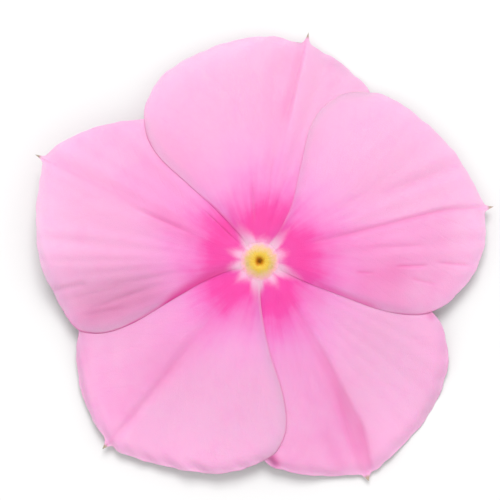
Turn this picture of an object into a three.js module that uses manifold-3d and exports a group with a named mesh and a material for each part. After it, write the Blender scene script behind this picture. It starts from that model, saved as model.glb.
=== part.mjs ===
// A picked Madagascar periwinkle bloom, lying face up with its corolla tube folded under the petals.
//
// Units are millimetres and +Z is up. The surface that the bloom lies on is the plane z = 0.
// Everything is drawn round the throat, the small mouth in the middle of the flower, and the whole
// bloom is then moved so that the origin lies under the middle of its outline.
// Directions round the throat are azimuths in degrees, anticlockwise from +X as seen from above.

import * as THREE from "three";
import { mergeVertices } from "three/addons/utils/BufferGeometryUtils.js";
import Module from "manifold-3d";

const wasm = await Module();
wasm.setup();

// Driving dimensions of the limb, the flat part that the five petals make.
const PETAL_THICKNESS = 0.6;
const LIMB_HEIGHT = 5.0; // middle of the petals' thickness, where they leave the throat
const LIMB_INNER_RADIUS = 2.15;
const LIMB_OUTER_RADIUS = 24; // where the slope of the limb has died away
const LAYER_STEP = 1.0; // from the middle of one petal to the middle of the one that laps over it
const LAYER_START_RADIUS = 2.3; // the petals lie edge to edge up to here
const LAYER_FULL_RADIUS = 4.4; // and fully over and under each other from here
const LAYER_SPREAD = 0.75; // share of the way from midrib to side edge over which a petal tilts
const RUFFLE_HEIGHT = 0.16; // of the waves along the margin
const RUFFLE_COUNT = 8;
const RUFFLE_PHASE = 100; // degrees
const MIDRIB_DEPTH = 0.28; // of the groove along each midrib
const MIDRIB_HALF_WIDTH = 0.9;

// Height of the limb round its margin: [azimuth, height]. The left petal lies over the folded tube,
// and its lower lobe hangs down beside it.
const MARGIN_HEIGHTS = [
  [13, 1.55],
  [38, 1.2],
  [64, 0.5],
  [90, 1.15],
  [118, 1.9],
  [138, 3.1],
  [156, 3.85],
  [178, 3.5],
  [196, 1.75],
  [212, 1.1],
  [232, 1.2],
  [256, 1.65],
  [278, 1.4],
  [298, 0.75],
  [318, 0.2],
  [342, 1.35],
];

// Each petal is a lopsided fan with a small point at its tip. Its two side edges run from the throat
// to the tip and are drawn through [radius, azimuth] points, as many on the left as on the right.
// left and right say whether that side laps over its neighbour (+1) or under it (-1).
const PETALS = [
  {
    name: "petal_top",
    color: 0xf9b2dd,
    tip: [23.3, 77.9],
    midribBend: 1,
    left: +1,
    right: -1,
    leftEdge: [
      [2.15, 127],
      [5.5, 128.7],
      [10.5, 133],
      [14.3, 134],
      [17.0, 131.4],
      [19.3, 125.4],
      [21.0, 115.5],
      [21.9, 100],
      [22.4, 88],
      [22.1, 80.6],
      [22.35, 78.7],
    ],
    rightEdge: [
      [2.15, 63],
      [4.2, 60],
      [7.5, 56],
      [12.0, 61],
      [16.0, 58],
      [18.6, 54.5],
      [20.1, 56.7],
      [20.8, 62.5],
      [21.5, 69],
      [21.9, 74.6],
      [22.25, 76.9],
    ],
  },
  {
    name: "petal_left",
    color: 0xf7b0da,
    tip: [24.5, 154.6],
    midribBend: 1,
    left: +1,
    right: -1,
    leftEdge: [
      [2.15, 203],
      [4.6, 197.6],
      [8.6, 203.2],
      [13.9, 206.1],
      [17.4, 204.4],
      [19.5, 199.5],
      [20.5, 190],
      [21.7, 179.7],
      [22.6, 167],
      [23.3, 157.2],
      [23.6, 155.4],
    ],
    rightEdge: [
      [2.15, 135],
      [4.2, 130.5],
      [7.5, 123],
      [12.0, 128],
      [15.5, 126],
      [17.4, 126.6],
      [18.6, 131.5],
      [20.5, 139.1],
      [22.3, 146.8],
      [23.3, 152],
      [23.6, 153.8],
    ],
  },
  {
    name: "petal_lower_left",
    color: 0xf6afd9,
    tip: [24.4, 230.1],
    midribBend: 0,
    left: +1,
    right: -1,
    leftEdge: [
      [2.15, 271],
      [4.8, 271.6],
      [9.0, 276.7],
      [13.4, 280.1],
      [16.8, 279.1],
      [19.1, 274.6],
      [20.5, 267],
      [21.6, 258.1],
      [22.5, 245.1],
      [23.5, 234.8],
      [23.6, 231.4],
    ],
    rightEdge: [
      [2.15, 211],
      [4.2, 201.5],
      [7.5, 193],
      [12.0, 199],
      [15.5, 198.5],
      [18.2, 198],
      [19.6, 202.8],
      [20.9, 209.5],
      [22.2, 217.5],
      [23.1, 225.5],
      [23.5, 229],
    ],
  },
  {
    name: "petal_lower_right",
    color: 0xf6b0da,
    tip: [24.5, 296.4],
    midribBend: 9,
    left: -1,
    right: -1,
    leftEdge: [
      [2.15, 332],
      [4.2, 333.5],
      [7.5, 343],
      [12.0, 344.5],
      [15.5, 346],
      [17.6, 344],
      [19.5, 339.5],
      [21.6, 330.2],
      [22.9, 317],
      [23.7, 301.5],
      [23.8, 298],
    ],
    rightEdge: [
      [2.15, 279],
      [4.2, 275],
      [7.5, 266],
      [12.0, 273],
      [15.5, 272],
      [18.3, 269.6],
      [20.0, 271.8],
      [21.0, 276.8],
      [22.2, 285.2],
      [23.1, 292.3],
      [23.6, 295.2],
    ],
  },
  {
    name: "petal_right",
    color: 0xf8b0dc,
    tip: [23.9, 13.1],
    midribBend: 10,
    left: +1,
    right: +1,
    leftEdge: [
      [2.15, 55],
      [5.7, 59],
      [9.8, 66.4],
      [14.0, 69.3],
      [16.8, 67.2],
      [19.0, 62],
      [20.6, 53.5],
      [21.3, 43.2],
      [22.2, 29.5],
      [22.9, 16.3],
      [23.1, 14],
    ],
    rightEdge: [
      [2.15, -20],
      [5.0, -23.7],
      [8.7, -22.9],
      [12.5, -22.1],
      [15.5, -20],
      [17.6, -16.8],
      [19.4, -11.6],
      [21.4, -3],
      [22.5, 5],
      [22.8, 10.6],
      [23.0, 12.3],
    ],
  },
];
const ROWS_PER_SEGMENT = 2; // mesh rows from one edge point to the next
const COLUMNS_PER_HALF = 7; // mesh columns from the midrib to a side edge
const COLUMN_CROWDING = 1.25; // above 1, the columns crowd towards the midrib

const WHORL = 5; // petals, anthers and sepals all come in fives

// Driving dimensions of the corolla tube and what it holds. Stations are lengths along the tube's
// middle line, from its mouth under the petals, and the profiles are [radius, station].
const MOUTH_HEIGHT = 4.5;
const NECK_LENGTH = 0.3; // straight down, before the tube folds over
const TUBE_REST_HEIGHT = 1.4; // of the middle line where the tube lies along the surface
const TUBE_AZIMUTH = 139; // the way that the tube folds
const TUBE_CURL_RADIUS = 17; // it lies in an arc, curling anticlockwise
const TUBE_LENGTH = 21;
const TUBE_SIDES = 16;
const ROUTE_STEP = 1.2;

const TUBE_OUTSIDE = [
  [3.1, 0],
  [3.2, 0.25],
  [2.2, 0.6],
  [1.6, 1.1],
  [1.62, 2.4],
  [1.35, 3.4],
  [1.05, 4.7],
  [0.95, 8],
  [0.8, TUBE_LENGTH - 1],
  [0.8, TUBE_LENGTH],
];
const TUBE_BORE = [
  [0.42, TUBE_LENGTH],
  [0.42, TUBE_LENGTH - 1],
  [0.5, 8],
  [0.62, 4.7],
  [0.88, 3.4],
  [1.12, 2.4],
  [1.0, 1.1],
  [0.85, 0.4],
  [0.85, 0],
];

// The yellow ring round the mouth: [radius, height].
const RING_PROFILE = [
  [0.5, 4.8],
  [1.7, 4.8],
  [1.85, 4.95],
  [1.62, 5.22],
  [1.15, 5.42],
  [0.78, 5.42],
  [0.5, 5.2],
];
const RING_SIDES = 30;
const RING_LOBE = 0.04; // its outline swells this much in the middle of each petal

// Five anthers lean together in a cone just under the mouth.
const ANTHER_PROFILE = [
  [0, 0.7],
  [0.24, 0.8],
  [0.5, 1.4],
  [0.66, 2.2],
  [0.6, 2.8],
  [0, 3.0],
];
const ANTHER_SIDES = 20;
const ANTHER_LOBE = 0.16;

// Stigma head, style and ovary.
const PISTIL_PROFILE = [
  [0, 3.35],
  [0.4, 3.5],
  [0.45, 3.9],
  [0.22, 4.3],
  [0.18, 5],
  [0.18, 20.6],
  [0.3, 21.4],
  [0.58, 21.9],
  [0.58, 22.4],
  [0.3, 22.75],
  [0, 22.8],
];
const PISTIL_SIDES = 8;

// Green cup that holds the foot of the tube, with a stub of the flower's stalk.
const CALYX_PROFILE = [
  [1.4, 19.9],
  [1.46, 20.9],
  [1.46, 22.2],
  [1.35, 23.2],
  [0.8, 23.9],
  [0.6, 24.4],
  [0.55, 25.2],
  [0, 25.2],
  [0, 23.1],
  [0.8, 23.1],
  [1.1, 22.4],
  [1.1, 19.9],
];
const CALYX_SIDES = 20;
const SEPAL_ROOT_STATION = 20.6;
const SEPAL_LENGTH = 4.4;
const SEPAL_RADIUS = 1.46; // of its middle, from the tube's middle line
const SEPAL_HALF_WIDTH = 0.58;
const SEPAL_HALF_THICKNESS = 0.3;
const SEPAL_STEPS = 7;
const SEPAL_CORNERS = 6;
const SEPAL_POINTEDNESS = 1.6;

// The block of ground that what lies on it is cut level by.
const GROUND_WIDTH = 100;
const GROUND_DEPTH = 10;

const radians = THREE.MathUtils.degToRad;
const smooth = (from, to, x) => THREE.MathUtils.smoothstep(x, from, to);

// The point at a radius and azimuth round the throat, seen from above.
function polar(radius, azimuth) {
  const a = radians(azimuth);
  return new THREE.Vector2(radius * Math.cos(a), radius * Math.sin(a));
}

// The signed turn from one azimuth to another, from -180 to 180.
function turn(from, to) {
  return THREE.MathUtils.euclideanModulo(to - from + 180, 360) - 180;
}

// A closed solid from a list of points and a list of triangles, with no two points alike.
function geometryOf(points, triangles) {
  const positions = triangles.flat().flatMap((i) => points[i].toArray());
  const loose = new THREE.BufferGeometry();
  loose.setAttribute("position", new THREE.Float32BufferAttribute(positions, 3));
  return mergeVertices(loose, 1e-4);
}

// The margin's height at an azimuth: it eases from each entry of the list to the next.
function marginHeight(azimuth) {
  const count = MARGIN_HEIGHTS.length;
  for (let i = 0; i < count; i += 1) {
    const [here, low] = MARGIN_HEIGHTS[i];
    const [next, high] = MARGIN_HEIGHTS[(i + 1) % count];
    const span = THREE.MathUtils.euclideanModulo(next - here, 360);
    const along = THREE.MathUtils.euclideanModulo(azimuth - here, 360);
    if (along < span) return THREE.MathUtils.lerp(low, high, smooth(0, span, along));
  }
  return MARGIN_HEIGHTS[0][1];
}

// Height that all five petals share: level at the throat, down to the margin, and level again.
function limbHeight(radius, azimuth) {
  const outward = smooth(LIMB_INNER_RADIUS, LIMB_OUTER_RADIUS, radius);
  const ruffle = RUFFLE_HEIGHT * outward ** 2 * Math.sin(radians(RUFFLE_COUNT * azimuth + RUFFLE_PHASE));
  return THREE.MathUtils.lerp(LIMB_HEIGHT, marginHeight(azimuth), outward) + ruffle;
}

// Azimuth of a petal's midrib at a radius: it leaves the throat a little off the tip's azimuth.
function midribAzimuth(petal, radius) {
  const [tipRadius, tipAzimuth] = petal.tip;
  return tipAzimuth + petal.midribBend * (1 - radius / tipRadius);
}

// Azimuth of a side edge where it is seen between two petals, taken at half the petal's length.
const sideAzimuth = (edge) => edge[3][1];

// Height of the middle of a petal's thickness at a point of its plan.
function petalHeight(petal, point) {
  const radius = point.length();
  const azimuth = THREE.MathUtils.radToDeg(Math.atan2(point.y, point.x));
  const midrib = midribAzimuth(petal, radius);
  const off = turn(midrib, azimuth);
  const [edge, lap] = off > 0 ? [petal.leftEdge, petal.left] : [petal.rightEdge, petal.right];
  const share = off / turn(midrib, sideAzimuth(edge));
  const layered = smooth(LAYER_START_RADIUS, LAYER_FULL_RADIUS, radius) * smooth(0, LAYER_SPREAD, share);
  const fromMidrib = (radius * Math.sin(radians(off))) / MIDRIB_HALF_WIDTH;
  const groove = MIDRIB_DEPTH * Math.exp(-(fromMidrib ** 2)) * smooth(0.1, 0.3, radius / petal.tip[0]);
  return limbHeight(radius, azimuth) + (lap * LAYER_STEP * layered) / 2 - groove;
}

// A petal's side edge as a smooth curve in plan, from its root at the throat to the petal's tip.
function edgeCurve(edge, tip) {
  return new THREE.SplineCurve([...edge, tip].map(([radius, azimuth]) => polar(radius, azimuth)));
}

// The plan of a petal as rows of points from the right edge through the midrib to the left edge.
function petalRows(petal) {
  const right = edgeCurve(petal.rightEdge, petal.tip);
  const left = edgeCurve(petal.leftEdge, petal.tip);
  const rowCount = petal.leftEdge.length * ROWS_PER_SEGMENT;
  const rightLengths = right.getLengths(rowCount);
  const leftLengths = left.getLengths(rowCount);
  const rows = [];
  for (let row = 0; row < rowCount; row += 1) {
    const t = row / rowCount;
    const share = (rightLengths[row] / rightLengths[rowCount] + leftLengths[row] / leftLengths[rowCount]) / 2;
    const radius = THREE.MathUtils.lerp(LIMB_INNER_RADIUS, petal.tip[0], share);
    const middle = polar(radius, midribAzimuth(petal, radius));
    const points = [];
    for (let column = -COLUMNS_PER_HALF; column <= COLUMNS_PER_HALF; column += 1) {
      const across = (Math.abs(column) / COLUMNS_PER_HALF) ** COLUMN_CROWDING;
      const edge = (column < 0 ? right : left).getPoint(t);
      points.push(bowed(middle, edge, across, row === 0));
    }
    rows.push(points);
  }
  rows.push([polar(...petal.tip)]);
  return rows;
}

// A point between midrib and edge. The root row bows round the throat, and the others run straight.
function bowed(middle, edge, across, isRoot) {
  const point = middle.clone().lerp(edge, across);
  return isRoot ? point.setLength(LIMB_INNER_RADIUS) : point;
}

// Upward unit normal of a petal at a point of its plan.
function petalNormal(petal, point) {
  const step = 0.05;
  const slope = (dx, dy) => {
    const ahead = petalHeight(petal, new THREE.Vector2(point.x + dx, point.y + dy));
    const behind = petalHeight(petal, new THREE.Vector2(point.x - dx, point.y - dy));
    return (ahead - behind) / (2 * step);
  };
  return new THREE.Vector3(-slope(step, 0), -slope(0, step), 1).normalize();
}

// One petal as a thin closed solid. Where it rests on the surface, its underside is flat.
function petalGeometry(petal) {
  const rows = petalRows(petal);
  const points = [];
  const index = rows.map((row) =>
    row.map((plan) => {
      const middle = new THREE.Vector3(plan.x, plan.y, petalHeight(petal, plan));
      const offset = petalNormal(petal, plan).multiplyScalar(PETAL_THICKNESS / 2);
      const under = middle.clone().sub(offset);
      under.z = Math.max(under.z, 0);
      points.push(middle.clone().add(offset), under);
      return points.length - 2;
    }),
  );
  const triangles = [];
  const face = (a, b, c) => {
    triangles.push([a, b, c], [a + 1, c + 1, b + 1]);
  };
  const rim = (a, b) => triangles.push([a, a + 1, b + 1], [a, b + 1, b]);
  const tip = index.at(-1)[0];
  const last = index.length - 2;
  for (let i = 0; i < last; i += 1) {
    for (let j = 0; j + 1 < index[i].length; j += 1) {
      const [a, b, c, d] = [index[i][j], index[i + 1][j], index[i + 1][j + 1], index[i][j + 1]];
      face(a, b, d);
      face(b, c, d);
    }
    rim(index[i][0], index[i + 1][0]);
    rim(index[i + 1].at(-1), index[i].at(-1));
  }
  for (let j = 0; j + 1 < index[0].length; j += 1) {
    face(index[last][j], tip, index[last][j + 1]);
    rim(index[0][j + 1], index[0][j]);
  }
  rim(index[last][0], tip);
  rim(tip, index[last].at(-1));
  return geometryOf(points, triangles);
}

// The tube's middle line: straight down, folded over in a quarter circle, and then in a level arc.
const FOLD_RADIUS = MOUTH_HEIGHT - NECK_LENGTH - TUBE_REST_HEIGHT;
const FOLD_LENGTH = (FOLD_RADIUS * Math.PI) / 2;

// Centre and cross directions of the tube at a station: up points away from the surface once it lies.
function routeFrame(station) {
  const folded = THREE.MathUtils.clamp((station - NECK_LENGTH) / FOLD_RADIUS, 0, Math.PI / 2);
  const lying = Math.max(0, station - NECK_LENGTH - FOLD_LENGTH);
  const start = radians(TUBE_AZIMUTH);
  const heading = start + lying / TUBE_CURL_RADIUS;
  const forward = new THREE.Vector3(Math.cos(heading), Math.sin(heading), 0);
  const side = new THREE.Vector3(forward.y, -forward.x, 0);
  const centre = new THREE.Vector3(Math.cos(start), Math.sin(start), 0);
  centre.multiplyScalar(FOLD_RADIUS * (1 - Math.cos(folded)));
  centre.z = MOUTH_HEIGHT - Math.min(station, NECK_LENGTH) - FOLD_RADIUS * Math.sin(folded);
  centre.x += TUBE_CURL_RADIUS * (Math.sin(heading) - Math.sin(start));
  centre.y -= TUBE_CURL_RADIUS * (Math.cos(heading) - Math.cos(start));
  const up = forward.multiplyScalar(Math.cos(folded)).setZ(Math.sin(folded));
  return { centre, up, side };
}

// Adds stations to a profile where it runs further than one step along the tube.
function refined(profile) {
  return profile.flatMap(([radius, station], i) => {
    const [nextRadius, nextStation] = profile[(i + 1) % profile.length];
    const pieces = Math.max(1, Math.ceil(Math.abs(nextStation - station) / ROUTE_STEP));
    return Array.from({ length: pieces }, (_, k) => [
      THREE.MathUtils.lerp(radius, nextRadius, k / pieces),
      THREE.MathUtils.lerp(station, nextStation, k / pieces),
    ]);
  });
}

// Sweeps a closed profile of [radius, station] round the tube's middle line. A profile that starts
// or ends on the line is closed there. lobe swells the outline once for each petal.
function sweptGeometry(profile, sides, place, lobe = 0) {
  const points = [];
  const rings = profile.map(([radius, station]) => {
    const ring = [];
    for (let k = 0; k < sides; k += 1) {
      const angle = (2 * Math.PI * k) / sides;
      ring.push(points.length);
      points.push(place(radius * (1 + lobe * Math.cos(WHORL * angle)), angle, station));
    }
    return ring;
  });
  const triangles = [];
  rings.forEach((ring, i) => {
    const next = rings[(i + 1) % rings.length];
    ring.forEach((a, k) => {
      const b = ring[(k + 1) % sides];
      const [c, d] = [next[(k + 1) % sides], next[k]];
      if (profile[i][0] > 0) triangles.push([a, b, d]);
      if (profile[(i + 1) % profile.length][0] > 0) triangles.push([b, c, d]);
    });
  });
  return geometryOf(points, triangles);
}

// A point beside the tube's middle line: radius and angle in the cross plane at a station.
function alongTube(radius, angle, station) {
  const { centre, up, side } = routeFrame(station);
  return centre
    .addScaledVector(up, radius * Math.cos(angle))
    .addScaledVector(side, radius * Math.sin(angle));
}

// A point round the throat's upright axis, for the ring.
function aroundThroat(radius, angle, height) {
  const azimuth = angle + radians(PETALS[0].tip[1]);
  return new THREE.Vector3(radius * Math.cos(azimuth), radius * Math.sin(azimuth), height);
}

// A closed geometry as a solid that can be joined and cut.
function solidOf(geometry) {
  return new wasm.Manifold(
    new wasm.Mesh({
      numProp: 3,
      vertProperties: geometry.getAttribute("position").array,
      triVerts: new Uint32Array(geometry.index.array),
    }),
  );
}

function geometryOfSolid(solid) {
  const mesh = solid.getMesh();
  const geometry = new THREE.BufferGeometry();
  geometry.setAttribute("position", new THREE.BufferAttribute(mesh.vertProperties, 3));
  geometry.setIndex(new THREE.BufferAttribute(mesh.triVerts, 1));
  return geometry;
}

// One awl-shaped sepal, from inside the cup's wall forwards along the tube.
function sepalGeometry(index) {
  const middle = (2 * Math.PI * index) / WHORL;
  const corners = Array.from({ length: SEPAL_CORNERS }, (_, k) => (2 * Math.PI * k) / SEPAL_CORNERS);
  const points = [];
  const sections = [];
  for (let i = 0; i <= SEPAL_STEPS; i += 1) {
    const along = i / SEPAL_STEPS;
    const size = Math.max(0, 1 - along ** SEPAL_POINTEDNESS);
    const station = SEPAL_ROOT_STATION - SEPAL_LENGTH * along;
    sections.push(
      corners.map((corner) => {
        const radius = SEPAL_RADIUS + SEPAL_HALF_THICKNESS * Math.sin(corner) * Math.sqrt(size);
        const spread = (SEPAL_HALF_WIDTH * size * Math.cos(corner)) / SEPAL_RADIUS;
        points.push(alongTube(radius, middle + spread, station));
        return points.length - 1;
      }),
    );
  }
  const triangles = [];
  for (let k = 1; k + 1 < SEPAL_CORNERS; k += 1) {
    triangles.push([sections[0][0], sections[0][k + 1], sections[0][k]]);
  }
  for (let i = 0; i < SEPAL_STEPS; i += 1) {
    sections[i].forEach((a, k) => {
      const b = sections[i][(k + 1) % SEPAL_CORNERS];
      const [c, d] = [sections[i + 1][(k + 1) % SEPAL_CORNERS], sections[i + 1][k]];
      triangles.push([a, b, c]);
      if (i + 1 < SEPAL_STEPS) triangles.push([a, c, d]);
    });
  }
  return geometryOf(points, triangles);
}

// Cup, sepals and stalk in one, cut level where they lie on the surface.
function calyxGeometry() {
  let calyx = solidOf(sweptGeometry(refined(CALYX_PROFILE), CALYX_SIDES, alongTube));
  for (let i = 0; i < WHORL; i += 1) calyx = calyx.add(solidOf(sepalGeometry(i)));
  const ground = new THREE.BoxGeometry(GROUND_WIDTH, GROUND_WIDTH, GROUND_DEPTH);
  ground.translate(0, 0, -GROUND_DEPTH / 2);
  ["normal", "uv"].forEach((name) => ground.deleteAttribute(name));
  return geometryOfSolid(calyx.subtract(solidOf(mergeVertices(ground))));
}

function finish(color, roughness) {
  return new THREE.MeshStandardMaterial({ color, roughness, metalness: 0 });
}

function part(name, geometry, material) {
  const mesh = new THREE.Mesh(geometry, material);
  mesh.name = name;
  return mesh;
}

const tube = sweptGeometry(refined([...TUBE_OUTSIDE, ...TUBE_BORE]), TUBE_SIDES, alongTube);
const ring = sweptGeometry(RING_PROFILE, RING_SIDES, aroundThroat, RING_LOBE);
const anthers = sweptGeometry(ANTHER_PROFILE, ANTHER_SIDES, alongTube, ANTHER_LOBE);
const pistil = sweptGeometry(refined(PISTIL_PROFILE), PISTIL_SIDES, alongTube);

const bloom = new THREE.Group();
for (const petal of PETALS) {
  bloom.add(part(petal.name, petalGeometry(petal), finish(petal.color, 0.6)));
}
bloom.add(
  part("corolla_tube", tube, finish(0xe9c7d6, 0.55)),
  part("throat_ring", ring, finish(0xecc645, 0.6)),
  part("anther_cone", anthers, finish(0xb98a2c, 0.7)),
  part("pistil", pistil, finish(0xc9cf9a, 0.6)),
  part("calyx", calyxGeometry(), finish(0x7f9a4a, 0.6)),
);

const outlineMiddle = new THREE.Box3().setFromObject(bloom).getCenter(new THREE.Vector3());
bloom.position.set(-outlineMiddle.x, -outlineMiddle.y, 0);

const object = new THREE.Group();
object.add(bloom);
export default object;
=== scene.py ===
"""A picked Madagascar periwinkle bloom lying face up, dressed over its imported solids.

Shapes are worked out in millimetres round the throat, the small mouth in the middle of the flower,
and placed in metres where the frame's throat ring lies. +Z is up and the bloom lies on z = 0.
Azimuths are degrees round the throat, anticlockwise from +X as seen from above. Each petal has a
left and a right side, as seen from the throat by someone who looks outwards.
"""

import logging
import math
import random
from collections import Counter
from collections.abc import Callable, Sequence
from dataclasses import dataclass, field
from enum import Enum
from typing import ClassVar

import bpy
import numpy as np
from mathutils import Matrix, Vector


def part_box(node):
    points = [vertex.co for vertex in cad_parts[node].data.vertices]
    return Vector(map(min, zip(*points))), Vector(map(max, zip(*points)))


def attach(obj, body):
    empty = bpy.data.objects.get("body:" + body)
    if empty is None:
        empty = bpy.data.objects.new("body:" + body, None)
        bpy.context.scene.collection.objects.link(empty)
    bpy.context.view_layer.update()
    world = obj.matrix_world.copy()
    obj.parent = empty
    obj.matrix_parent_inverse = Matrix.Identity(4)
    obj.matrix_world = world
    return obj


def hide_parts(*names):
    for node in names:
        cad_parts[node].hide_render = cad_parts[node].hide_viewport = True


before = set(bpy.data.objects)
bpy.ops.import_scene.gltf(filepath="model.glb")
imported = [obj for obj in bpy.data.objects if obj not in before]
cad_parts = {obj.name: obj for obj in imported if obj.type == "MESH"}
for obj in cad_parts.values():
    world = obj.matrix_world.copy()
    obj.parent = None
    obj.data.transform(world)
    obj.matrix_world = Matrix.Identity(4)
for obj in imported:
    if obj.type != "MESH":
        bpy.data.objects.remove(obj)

MM = 0.001
# How light goes into the petals, the waxy ring and the green parts.
PETAL_FLESH = {"subsurface_weight": 0.45, "subsurface_radius": (1.0, 0.3, 0.55), "subsurface_scale": 0.7 * MM}
WAX_FLESH = {"subsurface_weight": 0.3, "subsurface_radius": (1.0, 0.5, 0.45), "subsurface_scale": 0.5 * MM}
STEM_FLESH = {"subsurface_weight": 0.2, "subsurface_radius": (0.8, 0.8, 0.5), "subsurface_scale": 0.4 * MM}
BODY = "root"
MERGE = 1e-7
TINY = 1e-6
SHEET_EDGE = 0.9999
# A display colour, a radius with its azimuth, and where a change starts and ends.
Tone = tuple[float, float, float]
Polar = tuple[float, float]
Span = tuple[float, float]
Piece = bpy.types.Object
Socket = bpy.types.NodeSocket
Sockets = dict[str, Socket]
Array = np.ndarray
log = logging.getLogger("bloom")


def linear(tone: Tone, share: float = 1.0) -> tuple[float, float, float, float]:
    """Turns a display colour into a scene-linear one.

    Args:
        tone: Red, green and blue from 0 to 255, as they should look in full light.
        share: Brightness that the surface keeps, from 0 to 1.

    Returns:
        Linear red, green, blue and alpha.
    """
    made = []
    for value in tone:
        v = value / 255
        made.append(share * (v / 12.92 if v <= 0.04045 else ((v + 0.055) / 1.055) ** 2.4))
    return (*made, 1.0)


def smooth(low: float, high: float, x: Array | float) -> Array:
    """Eases from 0 at low to 1 at high."""
    t = np.clip((np.asarray(x, float) - low) / (high - low), 0, 1)
    return t * t * (3 - 2 * t)


def turn(start: Array | float, end: Array | float) -> Array:
    """Gives the signed turn between two azimuths, from -180 to 180 degrees."""
    return (np.asarray(end) - start + 180) % 360 - 180


def spline(points: Sequence[Polar], t: Array) -> Array:
    """Runs a smooth curve through plan points.

    Args:
        points: (radius, azimuth) of each point, in order.
        t: Places along the curve, from 0 to 1, with equal steps from point to point.

    Returns:
        One x, y row for each place.
    """
    radius, azimuth = np.array(points, float).T
    azimuth = np.radians(azimuth)
    plan = np.column_stack((radius * np.cos(azimuth), radius * np.sin(azimuth)))
    place = t * (len(points) - 1)
    i = np.minimum(place.astype(int), len(points) - 2)
    w = (place - i)[:, None]
    before, start = plan[np.maximum(i - 1, 0)], plan[i]
    end, after = plan[i + 1], plan[np.minimum(i + 2, len(points) - 1)]
    v0, v1 = (end - before) / 2, (after - start) / 2
    cubic = (2 * start - 2 * end + v0 + v1) * w**3
    return cubic + (-3 * start + 3 * end - 2 * v0 - v1) * w**2 + v0 * w + start


class Slot(Enum):
    """The record's material slots."""

    PETAL = "petal"
    TUBE = "tube"
    THROAT = "throat"
    ANTHERS = "anthers"
    PISTIL = "pistil"
    CALYX = "calyx"


class Side(Enum):
    """How one side of a petal meets its neighbour."""

    OVER = 1
    UNDER = -1


class Half(Enum):
    """One half of a petal, seen from the throat by someone who looks outwards."""

    LEFT = 1
    RIGHT = -1


class Bench:
    """The steps that every piece goes through, from its primitive to its place in the frame."""

    @staticmethod
    def clear() -> None:
        """Deselects everything."""
        bpy.ops.object.select_all(action="DESELECT")

    @staticmethod
    def named(name: str) -> Piece:
        """Names the primitive that was just added, and its mesh.

        Args:
            name: Its new name.

        Returns:
            The object.
        """
        piece = bpy.context.object
        piece.name = piece.data.name = name
        return piece

    @classmethod
    def grid(cls, name: str, columns: int, rows: int) -> Piece:
        """Adds a flat sheet from -1 to 1 with its own UV map.

        Args:
            name: The piece's name.
            columns: Faces across the sheet.
            rows: Faces along the sheet.

        Returns:
            The new object.
        """
        cls.clear()
        bpy.ops.mesh.primitive_grid_add(x_subdivisions=columns, y_subdivisions=rows, size=2, calc_uvs=True)
        return cls.named(name)

    @staticmethod
    def points(piece: Piece) -> Array:
        """Reads a mesh's points as rows of x, y, z.

        Args:
            piece: A mesh object.

        Returns:
            One row for each point, in metres.
        """
        found = np.empty(3 * len(piece.data.vertices))
        piece.data.vertices.foreach_get("co", found)
        return found.reshape(-1, 3)

    @staticmethod
    def place(piece: Piece, points: Array) -> None:
        """Moves a mesh's points to rows of x, y, z.

        Args:
            piece: A mesh object.
            points: One row for each point, in metres.
        """
        piece.data.vertices.foreach_set("co", np.asarray(points, float).ravel())
        piece.data.update()

    @staticmethod
    def mark(piece: Piece, name: str, values: Array) -> None:
        """Keeps three numbers for each point of a mesh, for its materials to read.

        Args:
            piece: A mesh object.
            name: The attribute's name.
            values: One row of three for each point.
        """
        layer = piece.data.attributes.new(name, "FLOAT_VECTOR", "POINT")
        layer.data.foreach_set("vector", np.asarray(values, float).ravel())

    @classmethod
    def only(cls, piece: Piece) -> None:
        """Selects one piece and makes it active.

        Args:
            piece: The object to select.
        """
        cls.clear()
        piece.select_set(True)
        bpy.context.view_layer.objects.active = piece

    @classmethod
    def edit(cls, piece: Piece, *steps: Callable[[], object]) -> None:
        """Runs edit-mode steps on the whole of one piece.

        Args:
            piece: The object to edit.
            steps: Calls to make in edit mode, with all of the mesh selected.
        """
        cls.only(piece)
        bpy.ops.object.mode_set(mode="EDIT")
        bpy.ops.mesh.select_mode(type="VERT")
        bpy.ops.mesh.select_all(action="SELECT")
        for step in steps:
            step()
        bpy.ops.object.mode_set(mode="OBJECT")

    @classmethod
    def modify(cls, piece: Piece, kind: str, **settings: object) -> None:
        """Adds one modifier to a piece and applies it.

        Args:
            piece: The object to change.
            kind: The modifier's type.
            settings: Its settings by name.
        """
        cls.only(piece)
        made = piece.modifiers.new(kind.title(), kind)
        for key, value in settings.items():
            setattr(made, key, value)
        bpy.ops.object.modifier_apply(modifier=made.name)

    @classmethod
    def join(cls, name: str, pieces: Sequence[Piece]) -> Piece:
        """Joins several meshes into the first one and names it.

        Args:
            name: The joined piece's name.
            pieces: The meshes to join.

        Returns:
            The joined object.
        """
        cls.only(pieces[0])
        for piece in pieces:
            piece.select_set(True)
        bpy.ops.object.join()
        return cls.named(name)

    @classmethod
    def outward(cls, piece: Piece) -> None:
        """Merges doubled points and turns all faces out.

        Args:
            piece: A mesh made of closed shells.
        """
        cls.edit(
            piece,
            lambda: bpy.ops.mesh.remove_doubles(threshold=MERGE),
            lambda: bpy.ops.mesh.normals_make_consistent(inside=False),
        )

    @classmethod
    def finish(
        cls,
        piece: Piece,
        slot: Slot,
        nodes: Sequence[str],
        materials: Sequence[bpy.types.Material] = (),
    ) -> None:
        """Smooths and dresses a finished piece and ties it to the frame.

        Args:
            piece: The finished object, with its place in its mesh.
            slot: Not used.
            nodes: The frame's nodes that it stands for.
            materials: Its materials, where it doesn't have them yet.
        """
        cls.only(piece)
        bpy.ops.object.shade_smooth()
        for material in materials:
            piece.data.materials.append(material)
        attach(piece, BODY)
        if nodes:
            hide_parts(*nodes)
        log.info("%s: %d faces, for %s", piece.name, len(piece.data.polygons), ", ".join(nodes) or "no node")


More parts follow.
